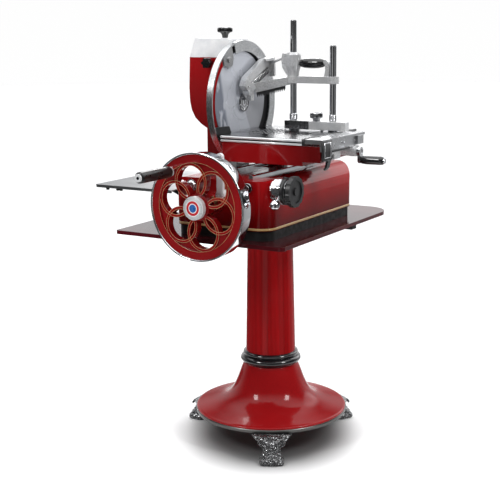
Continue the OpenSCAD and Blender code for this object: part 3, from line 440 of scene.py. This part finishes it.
def grid_faces(rows, seg, loop=False):
    """Quads between rows of seg points, joined to a tube; loop joins the last row to the first."""
    return [(i * seg + k, i * seg + (k + 1) % seg, j * seg + (k + 1) % seg, j * seg + k)
            for i, j in ((i, (i + 1) % rows) for i in range(rows if loop else rows - 1)) for k in range(seg)]


def end_faces(rows, seg):
    """The two faces that close such a tube."""
    return [tuple(range(seg - 1, -1, -1)), tuple((rows - 1) * seg + k for k in range(seg))]


def tube_mesh(points, r, closed=False, seg=10, flat=1.0, up=None):
    """Vertices and faces of a round bar along points; flat squeezes it along up."""
    pts = [Vector(p) for p in points]
    n = len(pts)
    verts = []
    for i, p in enumerate(pts):
        a = pts[(i + 1) % n] - pts[i - 1] if closed or 0 < i < n - 1 else (
            pts[1] - pts[0] if i == 0 else pts[-1] - pts[-2])
        a.normalize()
        u = Vector(up) if up else a.orthogonal()
        u = (u - a * u.dot(a)).normalized()
        w = a.cross(u)
        for k in range(seg):
            t = 2 * math.pi * k / seg
            verts.append(p + u * (r * flat * math.cos(t)) + w * (r * math.sin(t)))
    return verts, grid_faces(n, seg, closed) + ([] if closed else end_faces(n, seg))


def lathe_mesh(profile, centre, axis, seg=96, loop=False):
    """Turned form: profile of (radius, distance along axis); loop joins its end to its start."""
    a, u, w = frame_of(axis)
    c = Vector(centre)
    verts = []
    for r, h in profile:
        for k in range(seg):
            t = 2 * math.pi * k / seg
            verts.append(c + a * h + u * (r * math.cos(t)) + w * (r * math.sin(t)))
    n = len(profile)
    return verts, grid_faces(n, seg, loop) + ([] if loop else end_faces(n, seg))


def merge(*parts):
    """Several (vertices, faces) as one."""
    verts, faces = [], []
    for v, f in parts:
        base = len(verts)
        verts += list(v)
        faces += [tuple(base + i for i in face) for face in f]
    return verts, faces


def lerp_table(table, x):
    """Value at x of a table of (x, value)."""
    for (x0, y0), (x1, y1) in zip(table, table[1:]):
        if x <= x1:
            return y0 + (y1 - y0) * (x - x0) / (x1 - x0)
    return table[-1][1]


# ---------------------------------------------------------------- ornate cast feet
def turned(points, angle):
    """Points given for the foot that faces +X, turned about the column."""
    ca, sa = math.cos(math.radians(angle)), math.sin(math.radians(angle))
    return [(x * ca - y * sa, x * sa + y * ca, z) for x, y, z in points]


def ball_profile(r, n, base):
    """Profile of a ball without its poles; base is the height of its middle."""
    return [(r * math.sin(math.pi * k / n), base - r * math.cos(math.pi * k / n)) for k in range(1, n)]


def foot_mesh(angle):
    """One foot; reach and half are tables of (height, front or half width)."""
    reach = [(0, 314), (4, 317), (10, 317), (20, 312), (30, 302), (44, 293), (56, 291), (66, 291),
             (76, 284), (84, 272)]
    half = [(0, 39), (5, 42), (12, 41), (20, 35), (30, 31.5), (42, 30), (52, 33.5), (60, 40), (70, 50),
            (78, 60), (84, 67)]
    tall = 84.0
    seg, rows = 156, 96
    verts = []
    for j in range(rows + 1):
        z = tall * j / rows
        v = z / tall
        r, w = lerp_table(reach, z), lerp_table(half, z)
        depth = 30 + 22 * v
        for k in range(seg):
            t = 2 * math.pi * k / seg
            c, s = math.cos(t), math.sin(t)
            px = depth * math.copysign(abs(c) ** 0.5, c)
            py = w * math.copysign(abs(s) ** 0.5, s)
            u = py / w
            # Leaf fan above, ribbed stem in the middle, scales at the toe.
            fan = math.atan2((v - 0.40) * 2.0, abs(u) + 0.03)
            up = max(0.0, min(1.0, (v - 0.50) * 6)) * (1 - max(0.0, (v - 0.95) * 14))
            low = max(0.0, min(1.0, (0.34 - v) * 7)) * min(1.0, max(0.0, v - 0.05) * 14)
            mid = max(0.0, 1 - up - low) * min(1.0, max(0.0, v - 0.05) * 14)
            leaf = abs(math.cos(8 * fan)) ** 0.7 * 5.4 + 2.0 * abs(math.sin(26 * v + 5 * abs(u)))
            stem = 4.4 * abs(math.cos(6.3 * u)) + 2.8 * abs(math.sin(30 * v + 3 * abs(u)))
            scales = abs(math.sin(9 * u + 10 * v)) * abs(math.sin(9 * u - 10 * v))
            toe = 4.6 * scales + 2.0 * abs(math.cos(6.3 * u))
            relief = (up * leaf + mid * stem + low * toe) * max(0.0, c * 0.8 + 0.45) - 5.0
            verts.append((r - depth + px + relief * (c if c > 0 else 0.3 * c), py + 0.5 * relief * s, z))
    parts = [(turned(verts, angle), grid_faces(rows + 1, seg) + end_faces(rows + 1, seg))]
    # Small scrolls at the shoulders, claws along the sole and beads down the stem.
    steps = 43
    for side in (-1, 1):
        pts = []
        for i in range(steps + 1):
            t = i / steps
            a, q = 4.2 * math.pi * t, 9.5 * (1 - 0.86 * t)
            pts.append((290 - 6.0 * math.sin(a) * (1 - t) + 2.0 * t, side * (34 + q * math.cos(a)),
                        66 + q * math.sin(a)))
        parts.append(tube_mesh(turned(pts, angle), 1.9, seg=8))
    for i in range(-2, 3):
        c = turned([(310.0 - abs(i) * 2.2, i * 15.5, 0.2)], angle)[0]
        parts.append(lathe_mesh(ball_profile(7.4, 8, 7.4), c, UP, 20))
    for z in range(24, 72, 8):
        c = turned([(lerp_table(reach, z) - 1.0, 0, z)], angle)[0]
        parts.append(lathe_mesh(ball_profile(3.2, 6, 0.0), c, UP, 12))
    return merge(*parts)


piece("ornate_feet", *merge(*[foot_mesh(a) for a in (-60, 60, 180)]), FOOT_IRON, "frame",
      "black_iron", "cast_feet")


# ---------------------------------------------------------------- trumpet of the pedestal
def flow(points, n=6):
    """Smooth curve through the points."""
    pts = [Vector(p) for p in points]
    pts = [2 * pts[0] - pts[1]] + pts + [2 * pts[-1] - pts[-2]]
    out = []
    for a, b, c, d in zip(pts, pts[1:], pts[2:], pts[3:]):
        for i in range(n):
            t = i / n
            out.append(0.5 * (2 * b + (c - a) * t + (2 * a - 5 * b + 4 * c - d) * t * t
                              + (3 * b - a - 3 * c + d) * t ** 3))
    return [(p[0], p[1]) for p in out + [pts[-2]]]


rim_edge = [(238, 84), (238, 96), (249.2, 96), (250.1, 96.7), (250.9, 99), (250.6, 101), (249.3, 102.8)]
outside = [(245, 105), (222, 110.5), (196, 116.5), (176, 122.5), (160, 129.5), (148, 137.5), (138, 147),
           (130, 157), (122, 170), (115.5, 184), (109.5, 199), (104, 214), (99, 228), (93.5, 241), (89, 250)]
inside = [(70, 250), (70, 240), (83, 240), (94, 213), (107, 183), (122, 156), (142, 133), (172, 116),
          (216, 104), (226, 97), (205, 97), (205, 84)]
piece("trumpet", *lathe_mesh(rim_edge + flow(outside) + inside, (0, 0, 0), UP, 160, loop=True),
      RED_DISH, "frame", "red_enamel", "pedestal_base")


# ---------------------------------------------------------------- wheel: tyre and painted lines
def wheel_point(x, z, y):
    """A point given from the wheel's axle."""
    return (WHEEL_X + x, y, WHEEL_Z + z)


tyre = [(156.2, 0.8), (157, 0.2), (160, 0.0), (161.2, 0.5), (161.8, 1.6), (162, 3.2), (162, 40.8),
        (161.8, 42.4), (161.2, 43.5), (160, 44), (157, 43.8), (156.2, 43.2), (156.0, 40)]
TYRE_SEG = 192
tyre_verts = []
for r, h in tyre:
    for k in range(TYRE_SEG):
        a = 2 * math.pi * k / TYRE_SEG
        tyre_verts.append(wheel_point(r * math.cos(a), r * math.sin(a), WHEEL_Y + h))
tyre_faces = [(a, d, c, b) for a, b, c, d in grid_faces(len(tyre), TYRE_SEG, loop=True)]
piece("chrome_tyre", tyre_verts, tyre_faces, CHROME_EDGE, "flywheel", "chrome", "wheel_tyre")

# Two lines round each of the six rings, left out over the hub and the rim, and one round the rim.
RING_AT, RING_Y, RING_STEPS = 78, -438.1, 240
RIM_LINE_R, RIM_LINE_Y, RIM_STEPS = 131.6, -441.1, 180
lines = []
for i in range(6):
    middle = math.radians(60 * i + 45)
    for r in (47.0, 54.2):
        run = []
        for k in range(RING_STEPS + 1):
            a = 2 * math.pi * k / RING_STEPS
            x, z = (RING_AT * f(middle) + r * f(a) for f in (math.cos, math.sin))
            bare = 41.5 < math.hypot(x, z) < 130.5
            if bare:
                run.append(wheel_point(x, z, RING_Y))
            if (not bare or k == RING_STEPS) and len(run) > 3:
                lines.append(tube_mesh(run, 0.40, seg=6, flat=0.4, up=BACK))
            if not bare:
                run = []
run = [wheel_point(RIM_LINE_R * math.cos(a), RIM_LINE_R * math.sin(a), RIM_LINE_Y)
       for a in (2 * math.pi * k / RIM_STEPS for k in range(RIM_STEPS))]
lines.append(tube_mesh(run, 0.34, closed=True, seg=6, flat=0.5, up=BACK))
piece("wheel_lines", *merge(*lines), GOLD, "flywheel", "red_enamel")


# ---------------------------------------------------------------- painted line round the foot of the base
def rounded(x0, y0, x1, y1, radii, n=14):
    """Outline of a rectangle with a radius at each corner, from the low one round by x."""
    out = []
    corners = [(x0, y0, radii[0], 180), (x1, y0, radii[1], 270), (x1, y1, radii[2], 0),
               (x0, y1, radii[3], 90)]
    for cx, cy, r, a in corners:
        ox = cx + (r if cx == x0 else -r)
        oy = cy + (r if cy == y0 else -r)
        for i in range(n + 1):
            t = math.radians(a + 90 * i / n)
            out.append((ox + r * math.cos(t), oy + r * math.sin(t)))
    return out


def belt_mesh(outline, z0, z1, out):
    """Band on an outline between two heights, raised by out with bevelled edges."""
    n = len(outline)
    bevel = 0.3
    grown = []
    for i, (x, y) in enumerate(outline):
        px, py = outline[i - 1]
        qx, qy = outline[(i + 1) % n]
        tx, ty = qx - px, qy - py
        length = math.hypot(tx, ty) or 1.0
        grown.append((x + out * ty / length, y - out * tx / length))
    rows = ((outline, z0), (grown, z0 + bevel), (grown, z1 - bevel), (outline, z1))
    return [(x, y, z) for line, z in rows for x, y in line], grid_faces(4, n)


base_outline = rounded(-143, -345, 190, 232, (40, 50, 40, 40))
piece("base_line", *belt_mesh(base_outline, 762, 769, 0.35), GOLD, "frame", "red_enamel")


# ---------------------------------------------------------------- small fittings
def block(lo, hi, c=1.0):
    """Box with rounded upright edges and a small chamfer at both ends."""
    verts = []
    cut = c * 0.6
    for z, d in ((lo[2], cut), (lo[2] + cut, 0.0), (hi[2] - cut, 0.0), (hi[2], cut)):
        ring = rounded(lo[0] + d, lo[1] + d, hi[0] - d, hi[1] - d, (c,) * 4, 4)
        verts += [(x, y, z) for x, y in ring]
    n = len(ring)
    return verts, grid_faces(4, n) + end_faces(4, n)


def ring_mesh(centre, r, axis, bar, seg):
    """Round bar bent to a circle about an axis."""
    _, u, w = frame_of(axis)
    n = 48
    turns = [2 * math.pi * k / n for k in range(n)]
    path = [Vector(centre) + u * (r * math.cos(a)) + w * (r * math.sin(a)) for a in turns]
    return tube_mesh(path, bar, closed=True, seg=seg)


def screw(centre, r, axis, deep=1.6):
    """Round screw head with a recess in it, deep millimetres high."""
    head = [(r, 0), (r, deep * 0.5), (r * 0.86, deep * 0.85), (r * 0.55, deep), (r * 0.5, deep),
            (r * 0.42, deep * 0.45), (0.01, deep * 0.4)]
    return lathe_mesh(head, centre, axis, 20)


# Two mouldings along the front of the table.
mouldings = []
for z, y, r in ((1024.4, -262.4, 3.9), (1013.6, -262.0, 3.4)):
    path = [(-24, y + 6, z), (-20, y + 1.5, z), (-14, y, z), (40, y, z), (150, y, z), (257, y, z)]
    mouldings.append(tube_mesh(path, r, seg=14))
piece("table_moulding", *merge(*mouldings), BRIGHT_TRIM, "table", "bright_steel")

# Dark gaps, painted shade: between the mouldings, beside the end strip, and the end plate's window and slot.
gaps = [tube_mesh([(-16, -263.6, 1019), (256, -263.6, 1019)], 1.7, seg=8),
        block((257.0, -263.4, 1011), (266.5, 88, 1030.2), 0.8),
        block((320.5, -261, 967), (326, -204, 1026), 1.5),
        block((320.5, -204, 988), (324.6, -34, 993.5), 0.8)]
piece("table_gaps", *merge(*gaps), SATIN_BLACK, "table", "bright_steel")

# Bright frame round the window, and the end plate's screws.
frame_bars = [block((325.4, -254, 974), (327.4, -249, 1020), 0.8),
              block((325.4, -216, 974), (327.4, -211, 1020), 0.8),
              block((325.4, -249, 1016), (327.0, -216, 1020), 0.8),
              block((325.4, -249, 974), (327.0, -216, 977), 0.8)]
frame_bars += [screw((324.4, y, 1009), 3.2, RIGHT) for y in (-190, -120, -48)]
piece("end_frame", *merge(*frame_bars), CHROME_SOFT, "table", "bright_steel")

# Four-sided points that grip the meat, each over a flat dark disc, painted shade for a pit.
TABLE_TOP = 1029
points, pits = [], []
for x in range(14, 104, 15):
    for y in range(-150, -10, 20):
        place = (x, y, TABLE_TOP)
        points.append(lathe_mesh([(4.4, 0.0), (3.0, 0.9), (0.7, 2.45)], place, UP, 4))
        pits.append(lathe_mesh([(5.4, 0.0), (5.2, 0.12), (4.4, 0.12), (3.0, 0.05)], place, UP, 12))
piece("grip_points", *merge(*points), BRIGHT_TRIM, "table", "bright_steel", smooth=False)
piece("grip_pits", *merge(*pits), DARK_STEEL, "table", "bright_steel")

# Dark slot in the bracket beside the blade, a thin dark sheet as painted shade, with a row of bright ribs in
# it, and the bracket's screws.
slot_corners = [(-84, 1171), (30, 1218), (36, 1203), (-76, 1156)]
slot_verts = [(x, y, z) for x in (-23.2, -22.2) for y, z in slot_corners]
slot_faces = [(0, 1, 2, 3), (7, 6, 5, 4)]
slot_faces += [(i, 4 + i, 4 + (i + 1) % 4, (i + 1) % 4) for i in range(4)]
piece("bracket_slot", slot_verts, slot_faces, SATIN_BLACK, "press", "cast_aluminium", smooth=False)
ribs = []
for i in range(13):
    y, z = -76 + i * 8.7, 1158.5 + i * 3.6
    ribs.append(tube_mesh([(-22.0, y, z), (-21.6, y - 2.4, z + 5), (-22.0, y - 5, z + 12)], 1.7, seg=8))
ribs.append(tube_mesh([(-21.5, -84, 1172.5), (-21.5, 30, 1219.5)], 2.2, seg=8))
ribs += [screw((-10.2, y, z), 4.0, RIGHT, 1.8) for y, z in ((-112, 1168), (-94, 1181))]
piece("bracket_ribs", *merge(*ribs), ALU_BRIGHT, "press", "cast_aluminium")


def star_knob(cx, cy, neck, rings, r, amp, lobes):
    """Lobed knob: neck profile (radius, height) below, rings (height, share of the radius) above."""
    seg = 96
    turns = [2 * math.pi * k / seg for k in range(seg)]
    verts = [(cx + rad * math.cos(a), cy + rad * math.sin(a), z) for rad, z in neck for a in turns]
    for z, share in rings:
        for a in turns:
            rad = (r + amp * math.cos(lobes * a)) * share
            verts.append((cx + rad * math.cos(a), cy + rad * math.sin(a), z))
    n = len(neck) + len(rings)
    return verts, grid_faces(n, seg) + end_faces(n, seg)


neck = [(8.0, 1303.2), (10.6, 1304), (9.6, 1310), (9.2, 1318), (10.5, 1325), (14, 1330)]
head = [(1332.4, 0.72), (1333.6, 0.93), (1336, 0.99), (1341, 1.0), (1345, 0.98), (1347.4, 0.90),
        (1348.6, 0.74), (1348.9, 0.5), (1348.2, 0.34), (1348.2, 0.1)]
piece("top_knob", *star_knob(-107, BLADE_Y, neck, head, 23.0, 3.8, 6),
      KNOB, "sharpener_turn", "black_knob", "sharpener_knob")
neck = [(4.0, 1037), (4.0, 1059.6), (11.6, 1059.8), (12, 1068)]
head = [(1069, 0.80), (1070, 0.96), (1072, 1.0), (1083, 1.0), (1085.6, 0.95), (1086.6, 0.84),
        (1086.8, 0.45), (1085, 0.4), (1085, 0.1)]
piece("clamp_knob", *star_knob(178, -18, neck, head, 18.4, 2.4, 8),
      KNOB_CHROME, "fence_clamp", "chrome", "fence_knob")

# Ribbed nuts on the two posts.
nuts = []
for x, r in ((81, 13.2), (220, 12.2)):
    prof = [(10.6, 1059.8), (r - 1, 1059.8)]
    for k in range(5):
        prof += [(r, 1060.6 + 3.6 * k), (r, 1062.8 + 3.6 * k), (r - 1.4, 1063.4 + 3.6 * k)]
    nuts.append(lathe_mesh(prof + [(r - 2, 1079), (10.6, 1079.4)], (x, 12, 0), UP, 48))
nuts.append(screw((220, -0.2, 1070), 2.8, FRONT, 1.6))
piece("post_nuts", *merge(*nuts), POST_CHROME, "table", "chrome")

# Small black buffers on the tray.
buffer = [(3.4, 853.5), (5.2, 853), (5.6, 850), (5.4, 844.5), (4.4, 843.4), (0.4, 843.4)]
buffers = [lathe_mesh(buffer, (x, -322, 0), UP, 20) for x in (-412, -372, -359)]
piece("tray_buffers", *merge(*buffers), KNOB, "frame", "black_knob")

# Adjusting drum: black band and set screw holes, the holes dark discs as painted shade, and the screw in its
# knob.
DRUM_Y, DRUM_Z, DRUM_R = -300, 880, 39.9
trim = [lathe_mesh([(39.8, 222.5), (40.5, 223), (40.5, 234.2), (39.8, 234.6)], (0, DRUM_Y, DRUM_Z),
                   RIGHT, 72)]
for a in (-150, -105, 20):
    c, q = math.cos(math.radians(a)), math.sin(math.radians(a))
    trim.append(lathe_mesh([(3.4, -0.5), (3.4, 0.5), (2.6, 0.8), (0.4, 0.4)],
                           (206, DRUM_Y + DRUM_R * c, DRUM_Z + DRUM_R * q), (0, c, q), 14))
piece("drum_band", *merge(*trim), SATIN_BLACK, "frame", "chrome")
piece("knob_screw", *merge(screw((257.2, DRUM_Y, DRUM_Z), 6.0, RIGHT, 2.4),
                           ring_mesh((256.9, DRUM_Y, DRUM_Z), 9.5, RIGHT, 0.7, 6)),
      CHROME, "thickness_knob", "black_knob")

# Oil cap: two rings and a screw.
CAP_X, CAP_Z = 124, 888
piece("oil_cap_rim", *merge(ring_mesh((CAP_X, -350.4, CAP_Z), 13.4, BACK, 1.5, 8),
                            ring_mesh((CAP_X, -357.2, CAP_Z), 8.2, BACK, 0.9, 8),
                            screw((CAP_X, -356.6, CAP_Z), 3.4, FRONT)),
      CHROME, "frame", "black_knob")

# Blade hub: two dark rings and six screws.
piece("hub_rings", *merge(ring_mesh((-40.4, BLADE_Y, BLADE_Z), 27.4, RIGHT, 1.5, 8),
                          ring_mesh((-37.9, BLADE_Y, BLADE_Z), 13.5, RIGHT, 0.9, 8)),
      SATIN_BLACK, "blade_unit", "chrome")
HUB_SCREWS_R = 20.5
hub_screws = []
for k in range(6):
    a = math.radians(60 * k + 30)
    hub_screws.append(screw((-40.6, BLADE_Y + HUB_SCREWS_R * math.cos(a),
                             BLADE_Z + HUB_SCREWS_R * math.sin(a)), 3.6, RIGHT, 2.4))
piece("hub_screws", *merge(*hub_screws), CHROME, "blade_unit", "chrome")


# ---------------------------------------------------------------- stage, camera, light
def stage_mesh(name, verts, faces, look):
    """Part of the studio, in metres."""
    me = bpy.data.meshes.new(name)
    me.from_pydata(verts, [], faces)
    me.materials.append(look)
    ob = bpy.data.objects.new(name, me)
    bpy.context.scene.collection.objects.link(ob)
    return ob


def floor_paint():
    """Pale floor with a painted shadow: darker in an ellipse round the foot; the ellipse is longer along the
    view.
    """
    m = Mat("floor_paint")
    pale = m.mix(m.span(m.noise(1.5), 0.0, 1.0), (0.90, 0.90, 0.90), (0.92, 0.92, 0.92))
    x, y = m.axes()[:2]
    across = m.math("ADD", m.math("MULTIPLY", x, 0.859 * 1.25), m.math("MULTIPLY", y, 0.512 * 1.25))
    along = m.math("ADD", m.math("MULTIPLY", x, -0.512), m.math("MULTIPLY", y, 0.859))
    spread = m.math("SQRT", m.math("ADD", m.math("MULTIPLY", across, across),
                                   m.math("MULTIPLY", along, along)))
    away = m.node("ShaderNodeMapRange", {"interpolation_type": "SMOOTHSTEP"},
                  {0: spread, 1: 0.22, 2: 0.42, 3: 0.0, 4: 1.0}).outputs[0]
    m.set(Base_Color=m.mix(away, (0.16, 0.16, 0.16), pale), Roughness=0.75, Specular_IOR_Level=0.1)
    return m.m


def card(name, tone, strength):
    """Black card that gives off light of one tone."""
    m = Mat(name)
    m.set(Base_Color=(0.0, 0.0, 0.0), Emission_Color=tone, Emission_Strength=strength)
    return m.m


HALF_FLOOR = 30
corners = [(-HALF_FLOOR, -HALF_FLOOR, 0), (HALF_FLOOR, -HALF_FLOOR, 0), (HALF_FLOOR, HALF_FLOOR, 0),
           (-HALF_FLOOR, HALF_FLOOR, 0)]
stage_mesh("studio_floor", corners, [(0, 1, 2, 3)], floor_paint())

# Camera: its place and its right, down and forward directions.
cam_place = Vector((1.7587, -3.0804, 1.3633))
right = Vector((0.859833, 0.510503, -0.008545))
down = Vector((0.096336, -0.178648, -0.979186))
ahead = Vector((-0.501404, 0.841113, -0.202787))
SENSOR_MM, LENS_MM = 36.0, 79.2
cam_data = bpy.data.cameras.new("photo_camera")
cam_data.lens = LENS_MM
cam_data.sensor_width = SENSOR_MM
cam_data.dof.use_dof = False
cam = bpy.data.objects.new("photo_camera", cam_data)
bpy.context.scene.collection.objects.link(cam)
turn = Matrix((right, -down, -ahead)).transposed()
cam.matrix_world = Matrix.Translation(cam_place) @ turn.to_4x4()
bpy.context.scene.camera = cam


def softbox(name, place, size, watts):
    """Area light aimed at the middle of the object."""
    li = bpy.data.lights.new(name, "AREA")
    li.shape = "RECTANGLE"
    li.size, li.size_y = size
    li.energy = watts
    ob = bpy.data.objects.new(name, li)
    bpy.context.scene.collection.objects.link(ob)
    turn = (Vector(AIM) - Vector(place)).normalized().to_track_quat("-Z", "Y").to_matrix()
    ob.matrix_world = Matrix.Translation(place) @ turn.to_4x4()


AIM = (0, 0, 0.75)
softbox("box_left", (-1.35, -3.3, 3.3), (0.8, 1.1), 60)
softbox("box_right", (3.5, -0.3, 3.3), (0.8, 1.1), 60)
softbox("box_back", (-1.6, 2.6, 2.4), (1.0, 1.6), 25)

# Sectors of the floor beyond the lit patch, from one angle to the next in degrees, seen only in gloss.
DARK = Mat("black_card")
DARK.set(Base_Color=(0.004, 0.004, 0.004), Roughness=0.9)
GREY = card("grey_card", (0.96, 0.98, 1.0), 0.20)
STRIP = card("strip_card", (1.0, 1.0, 1.0), 0.5)
HALF = card("half_card", (0.97, 0.98, 1.0), 0.2)
SECTOR_STEPS, SECTOR_IN, SECTOR_OUT, SECTOR_Z = 60, 0.95, 90.0, 0.002
for name, start, end, look in (("dark_floor", 148, 262, DARK.m), ("strip_floor", 262, 286, STRIP),
                               ("front_floor", 286, 338, DARK.m), ("half_floor", 338, 362, HALF),
                               ("side_floor", 362, 395, DARK.m), ("grey_floor", 35, 92, GREY)):
    arc = [math.radians(start + (end - start) * k / SECTOR_STEPS) for k in range(SECTOR_STEPS + 1)]
    sector_verts = [(r * math.cos(a), r * math.sin(a), SECTOR_Z) for r in (SECTOR_IN, SECTOR_OUT)
                    for a in arc]
    n = len(arc)
    sector = stage_mesh(name, sector_verts, [(k, k + 1, n + k + 1, n + k) for k in range(n - 1)], look)
    sector.visible_camera = sector.visible_diffuse = sector.visible_shadow = False

# Pale wall round the studio, seen only by the camera.
WALL_R, WALL_Z, WALL_SEG = 22, (-0.5, 14), 64
around = [2 * math.pi * k / WALL_SEG for k in range(WALL_SEG)]
sweep_verts = [(WALL_R * math.cos(a), WALL_R * math.sin(a), z) for z in WALL_Z for a in around]
sweep = stage_mesh("pale_sweep", sweep_verts, grid_faces(2, WALL_SEG),
                   card("sweep_paint", (1.0, 1.0, 1.0), 0.97))
sweep.visible_glossy = sweep.visible_diffuse = sweep.visible_shadow = sweep.visible_transmission = False

# Light from the surroundings: bright ceiling, pale wall behind, a patch to one side, dark in front.
world = bpy.data.worlds.new("studio")
bpy.context.scene.world = world
world.use_nodes = True
wt = world.node_tree
wt.nodes.clear()


def world_node(kind, attrs=None, ins=None):
    n = wt.nodes.new(kind)
    for k, v in (attrs or {}).items():
        setattr(n, k, v)
    for k, v in (ins or {}).items():
        if isinstance(v, bpy.types.NodeSocket):
            wt.links.new(v, n.inputs[k])
        else:
            n.inputs[k].default_value = v
    return n


def world_math(op, a, b):
    return world_node("ShaderNodeMath", {"operation": op}, {0: a, 1: b}).outputs[0]


def towards(direction):
    """How nearly a ray of the sky points in a direction."""
    return world_node("ShaderNodeVectorMath", {"operation": "DOT_PRODUCT"},
                      {0: sky, 1: direction}).outputs["Value"]


def step(value, a, b, lo, hi):
    """lo below a, hi above b, smooth between them."""
    return world_node("ShaderNodeMapRange", {"interpolation_type": "SMOOTHSTEP"},
                      {0: value, 1: a, 2: b, 3: lo, 4: hi}).outputs[0]


CEILING, WALL, PATCH, ROOM = 1.9, 0.95, 2.0, 0.07
sky = world_node("ShaderNodeTexCoord").outputs["Generated"]
height = world_node("ShaderNodeSeparateXYZ", ins={0: sky}).outputs[2]
ceiling = step(height, 0.50, 0.85, 0.0, CEILING)
wall = world_math("MULTIPLY", step(towards((-0.51, 0.86, 0.0)), 0.05, 0.75, 0.0, WALL),
                  step(height, 0.30, 0.55, 1.0, 0.0))
patch = step(towards((0.220, 0.843, 0.491)), 0.93, 0.98, 0.0, PATCH)
light = world_math("ADD", world_math("ADD", world_math("ADD", ceiling, wall), patch), ROOM)
background = world_node("ShaderNodeBackground", ins={0: (0.985, 0.99, 1.0, 1.0), 1: light})
wt.links.new(background.outputs[0], world_node("ShaderNodeOutputWorld").inputs[0])

bpy.context.scene.view_settings.view_transform = "Standard"
bpy.context.scene.view_settings.look = "None"
bpy.context.scene.view_settings.exposure = 0.0
